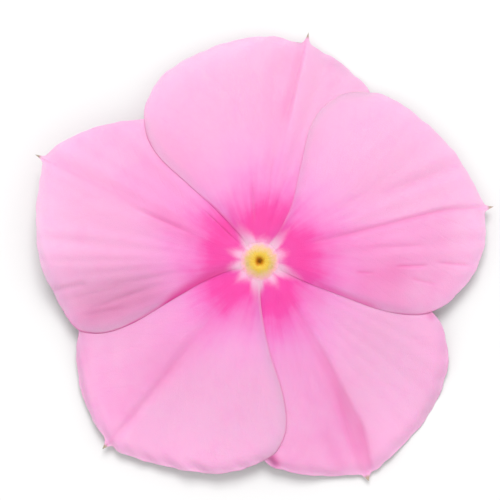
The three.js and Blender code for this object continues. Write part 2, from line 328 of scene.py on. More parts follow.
class Graph:
    """Adds nodes to one node tree and links them as they are made."""

    def __init__(self, tree: bpy.types.NodeTree) -> None:
        """Keeps the tree that the nodes go into."""
        self.tree = tree

    def add(self, kind: str, **settings: object) -> bpy.types.Node:
        """Adds one node with its settings.

        Args:
            kind: The node's type.
            settings: Its settings by name.

        Returns:
            The node.
        """
        node = self.tree.nodes.new(kind)
        for key, value in settings.items():
            setattr(node, key, value)
        return node

    def feed(self, socket: Socket, value: object) -> None:
        """Links a socket, or sets it where the value is a number or colour.

        Args:
            socket: The input to feed.
            value: A socket, a number or a colour.
        """
        if isinstance(value, Socket):
            self.tree.links.new(value, socket)
        else:
            socket.default_value = value

    def math(self, operation: str, *values: object, clamp: bool = False) -> Socket:
        """Does one step of arithmetic on numbers or sockets.

        Args:
            operation: The step.
            values: Its numbers or sockets, in order.
            clamp: Whether the result is kept from 0 to 1.

        Returns:
            The result.
        """
        node = self.add("ShaderNodeMath", operation=operation, use_clamp=clamp)
        for socket, value in zip(node.inputs, values):
            self.feed(socket, value)
        return node.outputs[0]

    def fade(
        self, value: object, low: float, high: float, start: float = 0.0, end: float = 1.0
    ) -> Socket:
        """Eases a value from start at low to end at high.

        Args:
            value: What is looked up.
            low: Where the change starts.
            high: Where it ends. It may lie below low.
            start: The result at low.
            end: The result at high.

        Returns:
            The eased value.
        """
        node = self.add("ShaderNodeMapRange", interpolation_type="SMOOTHSTEP")
        if low > high:
            low, high, start, end = high, low, end, start
        for socket, given in zip(node.inputs, (value, low, high, start, end)):
            self.feed(socket, given)
        return node.outputs[0]

    def mix(self, share: object, first: object, second: object) -> Socket:
        """Mixes two colours.

        Args:
            share: How much of the second colour.
            first: The colour at 0.
            second: The colour at 1.

        Returns:
            The mixed colour.
        """
        node = self.add("ShaderNodeMix", data_type="RGBA")
        for socket, value in zip((node.inputs[0], node.inputs[6], node.inputs[7]), (share, first, second)):
            self.feed(socket, value)
        return node.outputs[2]

    def ramp(self, value: object, stops: Sequence[tuple[float, object]], colour: bool = True) -> Socket:
        """Reads a ramp of colours or numbers.

        Args:
            value: What is looked up, from 0 to 1.
            stops: (place, colour or number) pairs in order.
            colour: Whether the stops hold colours.

        Returns:
            The colour or number at that place.
        """
        node = self.add("ShaderNodeValToRGB")
        ramp = node.color_ramp
        while len(ramp.elements) < len(stops):
            ramp.elements.new(1.0)
        for element, (place, shade) in zip(ramp.elements, stops):
            element.position = place
            element.color = shade if colour else (shade, shade, shade, 1.0)
        self.feed(node.inputs[0], value)
        return node.outputs[0]

    def noise(self, vector: object, scale: float, detail: float = 2.0, rough: float = 0.5) -> Socket:
        """Reads a cloudy noise from 0 to 1.

        Args:
            vector: The place to read.
            scale: The noise's fineness.
            detail: How many finer layers it has.
            rough: How strong those are.

        Returns:
            The noise.
        """
        node = self.add("ShaderNodeTexNoise")
        self.feed(node.inputs["Vector"], vector)
        node.inputs["Scale"].default_value = scale
        node.inputs["Detail"].default_value = detail
        node.inputs["Roughness"].default_value = rough
        return node.outputs[0]

    def vector(self, x: object, y: object, z: object = 0.0) -> Socket:
        """Puts three values together as a vector.

        Args:
            x: The first value.
            y: The second.
            z: The third.

        Returns:
            The vector.
        """
        node = self.add("ShaderNodeCombineXYZ")
        for socket, value in zip(node.inputs, (x, y, z)):
            self.feed(socket, value)
        return node.outputs[0]

    def split(self, vector: object) -> tuple[Socket, ...]:
        """Takes a vector apart.

        Args:
            vector: The vector.

        Returns:
            Its three values.
        """
        node = self.add("ShaderNodeSeparateXYZ")
        self.feed(node.inputs[0], vector)
        return tuple(node.outputs)

    def group(self, made: bpy.types.NodeTree, **values: object) -> Sockets:
        """Places a node group with its values and gives its outputs by name.

        Args:
            made: The group's tree.
            values: What feeds its inputs, by name, with _ for spaces.

        Returns:
            The group's outputs by name.
        """
        node = self.add("ShaderNodeGroup", node_tree=made)
        for key, value in values.items():
            self.feed(node.inputs[key.replace("_", " ").title()], value)
        return {socket.name: socket for socket in node.outputs}


class Pattern:
    """A node group that several materials use, made the first time that it is asked for."""

    made: ClassVar[dict[str, bpy.types.NodeTree]] = {}
    title: ClassVar[str]
    inputs: ClassVar[dict[str, float | None]]
    outputs: ClassVar[tuple[str, ...]]

    def nodes(self, graph: Graph, given: Sockets) -> Sockets:
        """Makes the nodes inside the group.

        Args:
            graph: The group's nodes.
            given: Its inputs, numbers or, where the class gives None, vectors.

        Returns:
            What feeds each of its outputs, all of them numbers.
        """
        raise NotImplementedError

    def tree(self) -> bpy.types.NodeTree:
        """Makes the group, unless it is there already.

        Returns:
            The group's node tree.
        """
        if self.title not in self.made:
            tree = bpy.data.node_groups.new(self.title, "ShaderNodeTree")
            for key, value in self.inputs.items():
                kind = "NodeSocketVector" if value is None else "NodeSocketFloat"
                socket = tree.interface.new_socket(key, in_out="INPUT", socket_type=kind)
                if value is not None:
                    socket.default_value = value
            for key in self.outputs:
                tree.interface.new_socket(key, in_out="OUTPUT", socket_type="NodeSocketFloat")
            graph = Graph(tree)
            given = {socket.name: socket for socket in graph.add("NodeGroupInput").outputs}
            end = graph.add("NodeGroupOutput")
            for key, value in self.nodes(graph, given).items():
                graph.feed(end.inputs[key], value)
            self.made[self.title] = tree
        return self.made[self.title]


@dataclass(frozen=True)
class Eye(Pattern):
    """The pattern round the mouth: a gold ring that pales outwards, and a pale star of ten rays.

    Each ray has its azimuth, its reach and its half width in degrees. Each tone has its radius.
    """

    title = "Eye pattern"
    inputs = {"Place": None, "Unevenness": 0.6}
    outputs = ("Radius", "Uneven Radius", "Star")

    rays: tuple[tuple[float, float, float], ...] = (
        (18, 2.45, 16), (48, 4.0, 14), (80, 1.95, 11), (120, 4.0, 20), (161, 3.1, 13),
        (192, 3.1, 15), (221, 2.7, 14), (264, 3.9, 18), (305, 2.7, 13), (337, 4.2, 18),
    )
    valley: float = 1.85
    reach_scale: float = 5.0
    tones: tuple[tuple[float, Tone], ...] = (
        (0.0, (186, 108, 0)), (0.22, (212, 132, 2)), (0.38, (220, 156, 12)), (0.5, (232, 182, 36)),
        (0.64, (239, 196, 54)), (0.84, (236, 196, 66)), (1.02, (230, 194, 96)),
        (1.18, (234, 195, 126)), (1.4, (241, 192, 152)), (1.66, (245, 186, 174)),
        (1.9, (249, 182, 192)),
    )
    share: float = 0.84
    star: Tone = (253, 178, 208)
    star_fade: tuple[float, float, float, float] = (3.6, 1.8, 0.3, 0.95)
    star_edge: Span = (1.1, -0.7)
    roughness_scale: float = 2.4
    ring_roughness: float = 0.7
    ring_reach: float = 2.0
    ring_edge: Span = (2.05, 1.4)

    def reach_stops(self) -> list[tuple[float, float]]:
        """Lists how far the star reaches, by share of a full turn.

        Returns:
            (share of a turn, share of the greatest reach) pairs.
        """
        stops = []
        for azimuth, reach, half_width in self.rays:
            for aside, out in ((-half_width, self.valley), (0, reach), (half_width, self.valley)):
                stops.append(((azimuth + aside) / 360, out / self.reach_scale))
        return stops

    def nodes(self, graph: Graph, given: Sockets) -> Sockets:
        """Makes the nodes: throat-centred millimetres in, radius and masks out.

        Args:
            graph: The group's nodes.
            given: Its inputs.

        Returns:
            What feeds its outputs.
        """
        x, y, _ = graph.split(given["Place"])
        squares = graph.math("ADD", graph.math("MULTIPLY", x, x), graph.math("MULTIPLY", y, y))
        radius = graph.math("SQRT", squares)
        turned = graph.math("DIVIDE", graph.math("ARCTAN2", y, x), math.tau)
        share = graph.math("FRACT", graph.math("ADD", turned, 1.0))
        reach = graph.ramp(share, self.reach_stops(), colour=False)
        reach = graph.math("MULTIPLY", reach, self.reach_scale)
        rough = graph.math("SUBTRACT", graph.noise(given["Place"], self.roughness_scale, 3), 0.5)
        uneven = graph.math("MULTIPLY_ADD", rough, given["Unevenness"], radius)
        beyond = graph.math("SUBTRACT", uneven, reach)
        faint = graph.fade(radius, *self.star_fade)
        return {
            "Radius": radius,
            "Uneven Radius": graph.math("MULTIPLY_ADD", rough, self.ring_roughness, radius),
            "Star": graph.math("MULTIPLY", graph.fade(beyond, *self.star_edge), faint),
        }

    def paint(self, graph: Graph, masks: Sockets, tone: object) -> Socket:
        """Lays the star and the ring's tones over another tone.

        Args:
            graph: The material's nodes.
            masks: The group's outputs.
            tone: What lies under the pattern.

        Returns:
            The mixed colour.
        """
        starred = graph.mix(masks["Star"], tone, linear(self.star))
        stops = [(radius / self.ring_reach, linear(shade, self.share)) for radius, shade in self.tones]
        core = graph.ramp(graph.math("DIVIDE", masks["Uneven Radius"], self.ring_reach), stops)
        return graph.mix(graph.fade(masks["Uneven Radius"], *self.ring_edge), starred, core)


@dataclass(frozen=True)
class Veins(Pattern):
    """The veins of a petal, which leave its midrib at a slant, and the fine streaks along it."""

    title = "Petal veins"
    inputs = {"Place": None, "Turn": 0.0, "Radius": 10.0, "Margin": 5.0}
    outputs = ("Side Veins", "Midrib", "Streaks")

    slant: float = 0.5
    spacing: float = 0.21
    streaks: float = 12.0
    streak_length: float = 0.14
    streak_bend: float = 0.01
    drift: float = 0.3
    drift_scale: float = 0.22
    vein_width: Span = (0.82, 1.0)
    vein_start: Span = (5, 9)
    vein_end: Span = (0.3, 2.0)
    rib_width: Span = (0.28, 0.02)
    rib_start: Span = (3, 6)

    def nodes(self, graph: Graph, given: Sockets) -> Sockets:
        """Makes the nodes: turn from the midrib and radius in, vein and streak masks out.

        Args:
            graph: The group's nodes.
            given: Its inputs.

        Returns:
            What feeds its outputs.
        """
        radius = given["Radius"]
        off = graph.math("ABSOLUTE", given["Turn"])
        drift = graph.math("MULTIPLY", graph.noise(given["Place"], self.drift_scale, 1), self.drift)
        out = graph.math("DIVIDE", off, self.slant)
        out = graph.math("SUBTRACT", out, graph.math("LOGARITHM", radius, math.e))
        path = graph.math("DIVIDE", graph.math("ADD", out, drift), self.spacing)
        wave = graph.math("COSINE", graph.math("MULTIPLY", path, math.tau))
        grown = graph.fade(radius, *self.vein_start)
        side = graph.math("MULTIPLY", graph.fade(wave, *self.vein_width), grown)
        edge = graph.math("MULTIPLY", side, graph.fade(given["Margin"], *self.vein_end))
        rib = graph.fade(graph.math("MULTIPLY", off, radius), *self.rib_width)
        rib = graph.math("MULTIPLY", rib, graph.fade(radius, *self.rib_start))
        bent = graph.math("MULTIPLY_ADD", radius, self.streak_bend, given["Turn"])
        across = graph.math("MULTIPLY", bent, self.streaks)
        fan = graph.vector(across, graph.math("MULTIPLY", radius, self.streak_length))
        return {"Side Veins": edge, "Midrib": rib, "Streaks": graph.noise(fan, 1.0, 3, 0.5)}


@dataclass(frozen=True)
class Skin(Pattern):
    """The fine cell grain of living skin, and soft clouds over it."""

    title = "Skin grain"
    inputs = {"Place": None, "Fineness": 14.0}
    outputs = ("Grain", "Clouds")

    cloud_scale: float = 0.55

    def nodes(self, graph: Graph, given: Sockets) -> Sockets:
        """Makes the nodes: millimetres in, grain and clouds out.

        Args:
            graph: The group's nodes.
            given: Its inputs.

        Returns:
            What feeds its outputs.
        """
        cells = graph.add("ShaderNodeTexVoronoi", feature="F1")
        graph.feed(cells.inputs["Vector"], given["Place"])
        graph.feed(cells.inputs["Scale"], given["Fineness"])
        domes = graph.math("SUBTRACT", 1.0, cells.outputs[0])
        return {"Grain": domes, "Clouds": graph.noise(given["Place"], self.cloud_scale, 3)}


class Painter:
    """Starts a material: its tree, its surface shader and the throat-centred place of each point."""

    throat: ClassVar[Vector] = Vector()

    def __init__(self, name: str, roughness: float, **constants: object) -> None:
        """Makes the material and sets its constant sockets.

        Args:
            name: The material's name.
            roughness: Of the surface.
            constants: Other constant sockets of the surface shader, with _ for spaces.
        """
        self.material = bpy.data.materials.new(name)
        self.material.use_nodes = True
        tree = self.material.node_tree
        self.graph = Graph(tree)
        self.shader = next(node for node in tree.nodes if node.type == "BSDF_PRINCIPLED")
        self.shader.inputs["Roughness"].default_value = roughness
        for key, value in constants.items():
            self.shader.inputs[key.replace("_", " ").title()].default_value = value

    def place(self) -> Socket:
        """Gives millimetres from the throat.

        Returns:
            The place of each point, with the throat at 0.
        """
        node = self.graph.add("ShaderNodeMapping", vector_type="POINT")
        node.inputs["Scale"].default_value = (1 / MM,) * 3
        node.inputs["Location"].default_value = -self.throat / MM
        coordinates = self.graph.add("ShaderNodeTexCoord")
        self.graph.feed(node.inputs["Vector"], coordinates.outputs["Object"])
        return node.outputs[0]

    def fan(self) -> Socket:
        """Gives the piece's own UV map."""
        return self.graph.add("ShaderNodeTexCoord").outputs["UV"]

    def marks(self, name: str) -> tuple[Socket, ...]:
        """Gives the three numbers that the mesh keeps under a name.

        Args:
            name: The attribute's name.

        Returns:
            The three numbers.
        """
        node = self.graph.add("ShaderNodeAttribute", attribute_name=name)
        return self.graph.split(node.outputs["Vector"])

    def coat(self, tone: object, share: float, *layers: tuple[object, Tone]) -> object:
        """Lays tones over one another.

        Args:
            tone: The colour underneath.
            share: Brightness that the surface keeps, from 0 to 1.
            layers: (mask, display colour) pairs, from the lowest up.

        Returns:
            The mixed colour.
        """
        for mask, shade in layers:
            tone = self.graph.mix(mask, tone, linear(shade, share))
        return tone

    def colour(self, value: Socket) -> None:
        """Sets the base colour."""
        self.graph.feed(self.shader.inputs["Base Color"], value)

    def relief(self, height: Socket, distance: float, strength: float = 1.0) -> None:
        """Adds relief.

        Args:
            height: Heights from 0 to 1.
            distance: How far a height of 1 stands proud, in metres.
            strength: The relief's share.
        """
        bump = self.graph.add("ShaderNodeBump")
        bump.inputs["Strength"].default_value = strength
        bump.inputs["Distance"].default_value = distance
        self.graph.feed(bump.inputs["Height"], height)
        self.graph.feed(self.shader.inputs["Normal"], bump.outputs[0])


@dataclass(frozen=True)
class PetalFace:
    """The face of a petal: deep pink round the eye, paling outwards, and paler on its broad side."""

    name: str = "Petal face"
    deep: Tone = (252, 68, 168)
    near: tuple[tuple[float, Tone], ...] = (
        (3.3, (251, 60, 163)), (4.4, (252, 54, 160)), (5.2, (252, 66, 167)), (6.0, (252, 93, 180)),
        (7.0, (252, 117, 194)), (8.0, (253, 134, 201)), (9.2, (253, 147, 207)),
        (10.6, (253, 156, 209)), (12.4, (253, 163, 210)), (14.5, (253, 167, 210)),
        (19.0, (252, 173, 213)), (22.0, (252, 181, 218)), (24.0, (252, 190, 223)),
    )
    flush: Tone = (252, 145, 202)
    # The creases' and patches' deeper colour, with painted shade in the folds and at tucked corners.
    crease_colour_and_shade: Tone = (240, 98, 170)
    point: Tone = (158, 150, 120)
    hem: Tone = (253, 190, 219)
    # The margins' deeper colour with painted shade of the laps, where a petal lies on its neighbour.
    line: Tone = (240, 46, 144)
    # Painted shade, mixed in along curled-down rims, on lobes that slope away from the light and under a
    # petal's shadows.
    painted_shade: Tone = (150, 70, 120)
    share: float = 0.92
    reach: float = 25.0
    roughness: float = 0.62
    sheen: float = 0.1
    streak_pull: tuple[float, float, float, float] = (3, 8, 1.5, 2.6)
    cloud_pull: float = 2.4
    mottling: float = 0.9
    flush_edge: Span = (7, 12)
    side_vein_share: float = 0.012
    midrib_share: float = 0.05
    point_edge: Span = (0.75, 0.35)
    vein_groove: float = -0.12
    cell_height: float = 0.4
    streak_height: float = 0.9
    relief: float = 0.03

    def build(self) -> bpy.types.Material:
        """Makes the material.

        Returns:
            The material.
        """
        paint = Painter(self.name, self.roughness, sheen_weight=self.sheen, **PETAL_FLESH)
        graph = paint.graph
        place = paint.place()
        turned, margin, tip = paint.marks("Blade")
        flushed, shift, hemmed = paint.marks("Tone")
        creased, lined, painted_shading = paint.marks("Crease")
        eye = graph.group(Eye().tree(), place=place)
        veins = graph.group(Veins().tree(), place=place, turn=turned, radius=eye["Radius"], margin=margin)
        skin = graph.group(Skin().tree(), place=place)

        streak = graph.math("SUBTRACT", veins["Streaks"], 0.5)
        cloud = graph.math("SUBTRACT", skin["Clouds"], 0.5)
        moved = graph.math("ADD", eye["Radius"], shift)
        moved = graph.math("MULTIPLY_ADD", streak, graph.fade(eye["Radius"], *self.streak_pull), moved)
        moved = graph.math("MULTIPLY_ADD", cloud, self.cloud_pull, moved)
        scaled = [(radius / self.reach, linear(tone, self.share)) for radius, tone in self.near]
        tone = graph.ramp(graph.math("DIVIDE", moved, self.reach), scaled)
        mottled = graph.math("MULTIPLY_ADD", cloud, self.mottling, flushed)
        outer = graph.math("MULTIPLY", mottled, graph.fade(eye["Radius"], *self.flush_edge), clamp=True)
        lines = graph.math("MULTIPLY", veins["Side Veins"], self.side_vein_share)
        lines = graph.math("MAXIMUM", lines, graph.math("MULTIPLY", veins["Midrib"], self.midrib_share))
        # The painted shade tone darkens the skin where shade falls: along curled-down rims, on sloping lobes
        # and under the shadows.
        under = ((outer, self.flush), (lines, self.deep), (creased, self.crease_colour_and_shade), (painted_shading, self.painted_shade))
        tone = paint.coat(tone, self.share, *under, (hemmed, self.hem))
        tone = Eye().paint(graph, eye, tone)
        tipped = graph.fade(tip, *self.point_edge)
        # The line tone is the margins' deeper colour with painted shade of the laps.
        paint.colour(paint.coat(tone, self.share, (lined, self.line), (tipped, self.point)))
        groove = graph.math("MULTIPLY", veins["Side Veins"], self.vein_groove)
        rough = graph.math("MULTIPLY_ADD", skin["Grain"], self.cell_height, groove)
        height = graph.math("MULTIPLY_ADD", veins["Streaks"], self.streak_height, rough)
        paint.relief(height, self.relief * MM)
        return paint.material


@dataclass(frozen=True)
class PetalBack:
    """The underside of a petal: paler than its face, with raised veins and a greenish root."""

    name: str = "Petal back"
    base: Tone = (247, 196, 226)
    streak: Tone = (243, 178, 216)
    vein: Tone = (236, 158, 204)
    root: Tone = (238, 224, 216)
    point: Tone = (170, 146, 104)
    share: float = 0.84
    roughness: float = 0.7
    sheen: float = 0.12
    streak_edge: Span = (0.35, 0.75)
    side_vein_share: float = 0.45
    vein_share: float = 0.7
    root_edge: Span = (9, 2.5)
    point_edge: Span = (0.75, 0.35)
    cell_height: float = 0.3
    relief: float = 0.06

    def build(self) -> bpy.types.Material:
        """Makes the material.

        Returns:
            The material.
        """
        paint = Painter(self.name, self.roughness, sheen_weight=self.sheen, **PETAL_FLESH)
        graph = paint.graph
        place = paint.place()
        turned, margin, tip = paint.marks("Blade")
        eye = graph.group(Eye().tree(), place=place)
        veins = graph.group(Veins().tree(), place=place, turn=turned, radius=eye["Radius"], margin=margin)
        skin = graph.group(Skin().tree(), place=place)
        lines = graph.math("MULTIPLY", veins["Side Veins"], self.side_vein_share)
        lines = graph.math("MAXIMUM", lines, veins["Midrib"])
        layers = (
            (graph.fade(veins["Streaks"], *self.streak_edge), self.streak),
            (graph.math("MULTIPLY", lines, self.vein_share), self.vein),
            (graph.fade(eye["Radius"], *self.root_edge), self.root),
            (graph.fade(tip, *self.point_edge), self.point),
        )
        paint.colour(paint.coat(linear(self.base, self.share), self.share, *layers))
        grain = graph.math("MULTIPLY", skin["Grain"], self.cell_height)
        paint.relief(graph.math("ADD", lines, grain), self.relief * MM)
        return paint.material


@dataclass(frozen=True)
class RingFinish:
    """The waxy yellow ring round the mouth, with the petals' own star at its foot."""

    name: str = "Throat ring"
    foot: Tone = (252, 80, 170)
    fleck: Tone = (190, 172, 70)
    share: float = 0.84
    roughness: float = 0.5
    fineness: float = 9.0
    fleck_scale: float = 1.15
    fleck_edge: tuple[float, float, float, float] = (0.62, 0.7, 0.0, 0.4)
    band_start: Span = (0.8, 1.2)
    band_end: Span = (2.0, 1.6)
    relief: float = 0.025

    def build(self) -> bpy.types.Material:
        """Makes the material.

        Returns:
            The material.
        """
        paint = Painter(self.name, self.roughness, **WAX_FLESH)
        graph = paint.graph
        place = paint.place()
        eye = graph.group(Eye().tree(), place=place)
        skin = graph.group(Skin().tree(), place=place, fineness=self.fineness)
        tone = Eye().paint(graph, eye, linear(self.foot, self.share))
        spots = graph.fade(graph.noise(place, self.fleck_scale, 1), *self.fleck_edge)
        outer = graph.fade(eye["Radius"], *self.band_end)
        band = graph.math("MULTIPLY", graph.fade(eye["Radius"], *self.band_start), outer)
        flecks = graph.math("MULTIPLY", spots, band)
        paint.colour(paint.coat(tone, self.share, (flecks, self.fleck)))
        paint.relief(skin["Grain"], self.relief * MM)
        return paint.material


@dataclass(frozen=True)
class StemFinish:
    """A green or pale skin with streaks along it, for the tube and the calyx."""

    name: str
    base: Tone
    streak: Tone
    foot: Tone
    foot_start: float
    foot_end: float
    share: float = 0.8
    roughness: float = 0.55
    relief: float = 0.04
    sheen: float = 0.1
    fineness: float = 11.0
    cell_height: float = 0.5
    streak_edge: Span = (0.38, 0.66)
    streak_stretch: Span = (22.0, 2.5)

    def build(self) -> bpy.types.Material:
        """Makes the material. The piece's UV map runs round it, and along it from 0 to 1.

        Returns:
            The material.
        """
        paint = Painter(self.name, self.roughness, sheen_weight=self.sheen, **STEM_FLESH)
        graph = paint.graph
        across, along, _ = graph.split(paint.fan())
        skin = graph.group(Skin().tree(), place=paint.place(), fineness=self.fineness)
        stretched = (graph.math("MULTIPLY", *pair) for pair in zip((across, along), self.streak_stretch))
        streaks = graph.noise(graph.vector(*stretched), 1.0, 3, 0.6)
        streaked = (graph.fade(streaks, *self.streak_edge), self.streak)
        low = (graph.fade(along, self.foot_start, self.foot_end), self.foot)
        paint.colour(paint.coat(linear(self.base, self.share), self.share, streaked, low))
        height = graph.math("ADD", graph.math("MULTIPLY", skin["Grain"], self.cell_height), streaks)
        paint.relief(height, self.relief * MM)
        return paint.material


@dataclass(frozen=True)
class NodeFinish:
    """A mottled skin for the anthers, the throat's hairs and the pistil, which need no UV map."""

    name: str
    base: Tone
    mottle: Tone
    share: float = 0.8
    roughness: float = 0.6
    flesh: float = 0.15
    fineness: float = 10.0
    relief: float = 0.04

    def build(self) -> bpy.types.Material:
        """Makes the material.

        Returns:
            The material.
        """
        paint = Painter(
            self.name, self.roughness, subsurface_weight=self.flesh, subsurface_scale=0.3 * MM
        )
        graph = paint.graph
        skin = graph.group(Skin().tree(), place=paint.place(), fineness=self.fineness)
        mottled = (skin["Clouds"], self.mottle)
        paint.colour(paint.coat(linear(self.base, self.share), self.share, mottled))
        paint.relief(skin["Grain"], self.relief * MM)
        return paint.material


@dataclass(frozen=True)
class Fold:
    """A crease in a petal: a valley where depth is above 0, a ridge below it.

    Its sides may differ in width, and it widens from its start to its end.
    """

    start: Polar
    end: Polar
    depth: float
    left_width: float
    right_width: float
    widening: float = 1.0
    ease: float = 0.25
    # How much the fold tints the skin: the crease's deeper colour with painted crease shade, or, among a
    # petal's shadows, painted shade.
    shade: float = 0.0

    def form(self, plan: Array) -> Array:
        """Gives the fold's cross-section.

        Args:
            plan: Rows of x, y.

        Returns:
            Strengths from 0, beside the fold, to 1, along its middle.
        """
        first, last = (self.spot(p) for p in (self.start, self.end))
        run = last - first
        length = np.hypot(*run)
        ahead = run / length
        along = (plan - first) @ ahead / length
        off = (plan - first) @ np.array([-ahead[1], ahead[0]])
        width = np.where(off > 0, self.left_width, self.right_width)
        width = width * (1 + (self.widening - 1) * np.clip(along, 0, 1))
        window = smooth(-self.ease, self.ease, along) * smooth(1 + self.ease, 1 - self.ease, along)
        return np.exp(-((off / width) ** 2)) * window

    @staticmethod
    def spot(polar: Polar) -> Array:
        """Turns a radius and azimuth into x, y."""
        radius, azimuth = polar
        return radius * np.array([math.cos(math.radians(azimuth)), math.sin(math.radians(azimuth))])


@dataclass(frozen=True)
class EdgeLine:
    """A darker line along a stretch of a petal's side margin, where it lies on its neighbour.

    It is partly the margin's deeper colour and partly painted shade of the lap.
    """

    half: Half
    start: float
    end: float
    width: float
    shade: float
    start_ease: float = 0.8
    end_ease: float = 1.2

    def form(self, radius: Array, off: Array, margin: Array) -> Array:
        """Gives the line's strength.

        Args:
            radius: Distances from the throat.
            off: Turns from the midrib.
            margin: Distances to the margin.

        Returns:
            Strengths from 0 to the line's shade.
        """
        stretch = smooth(self.start - self.start_ease, self.start + self.start_ease, radius)
        stretch = stretch * smooth(self.end + self.end_ease, self.end - self.end_ease, radius)
        return self.shade * (off * self.half.value > 0) * smooth(self.width, 0, margin) * stretch


@dataclass(frozen=True)
class Limb:
    """The shape that all five petals share, in millimetres."""

    height: float = 5.0
    inner_radius: float = 2.15
    outer_radius: float = 24.0
    root_radius: float = 1.5
    rise: float = 0.05
    sink: float = 0.09
    droop: float = 0.02
    droop_width: float = 0.7
    rise_start: float = 0.3
    sink_full: float = 0.4
    lap_start: float = 1.9
    lap_full: float = 4.6
    ruffle_height: float = 0.16
    ruffle_count: int = 8
    ruffle_phase: float = 100.0
    swell_height: float = 0.035
    swell_count: int = 6
    swell_seed: int = 4
    swell_pitch: Span = (0.3, 0.85)
    swell_reach: Span = (4, 10)
    margin: tuple[Polar, ...] = (
        (13, 1.55), (38, 1.2), (64, 0.5), (90, 1.15), (118, 1.9), (138, 3.1), (156, 3.85),
        (178, 3.5), (196, 1.75), (212, 1.1), (232, 1.2), (256, 1.65), (278, 1.4), (298, 0.75),
        (318, 0.2), (342, 1.35),
    )

    def margin_height(self, azimuth: Array) -> Array:
        """Eases the margin's height from each listed azimuth to the next.

        Args:
            azimuth: Azimuths in degrees.

        Returns:
            Heights in millimetres.
        """
        made = np.zeros_like(azimuth)
        for (here, low), (there, high) in zip(self.margin, (*self.margin[1:], self.margin[0])):
            span = (there - here) % 360
            along = (azimuth - here) % 360
            made = np.where(along < span, low + (high - low) * smooth(0, span, along), made)
        return made

    def surface(self, radius: Array, azimuth: Array) -> Array:
        """Gives the height that the petals share: level at the throat, down to the margin.

        Args:
            radius: Distances from the throat.
            azimuth: Azimuths in degrees.

        Returns:
            Heights in millimetres.
        """
        outward = smooth(self.inner_radius, self.outer_radius, radius)
        wave = np.sin(np.radians(self.ruffle_count * azimuth + self.ruffle_phase))
        fall = self.height + (self.margin_height(azimuth) - self.height) * outward
        return fall + self.ruffle_height * outward**2 * wave + self.swells(radius, azimuth)

    def swells(self, radius: Array, azimuth: Array) -> Array:
        """Gives the soft swells that run on from petal to petal.

        Args:
            radius: Distances from the throat.
            azimuth: Azimuths in degrees.

        Returns:
            Heights in millimetres.
        """
        plan = np.column_stack((np.cos(np.radians(azimuth)), np.sin(np.radians(azimuth)))) * radius[:, None]
        draw = random.Random(self.swell_seed)
        made = np.zeros(len(plan))
        for _ in range(self.swell_count):
            heading, phase = draw.uniform(0, math.tau), draw.uniform(0, math.tau)
            wave = draw.uniform(*self.swell_pitch) * (plan @ np.array([math.cos(heading), math.sin(heading)]))
            made += self.swell_height * np.sin(wave + phase)
        return made * smooth(*self.swell_reach, radius)

    def lapped(self, side: Array, share: Array, radius: Array, margin: Array) -> Array:
        """Gives how far a petal lies above or below the shared surface.

        Args:
            side: 1 where the petal lies over its neighbour, -1 where it lies under it.
            share: Places from the midrib at 0 to the side margin at 1.
            radius: Distances from the throat.
            margin: Distances to the margin.

        Returns:
            Heights in millimetres.
        """
        layered = smooth(self.lap_start, self.lap_full, radius)
        rise = self.rise * smooth(self.rise_start, 1, share)
        rise = rise - self.droop * np.exp(-((margin / self.droop_width) ** 2))
        return layered * np.where(side > 0, rise, -self.sink * smooth(0, self.sink_full, share))


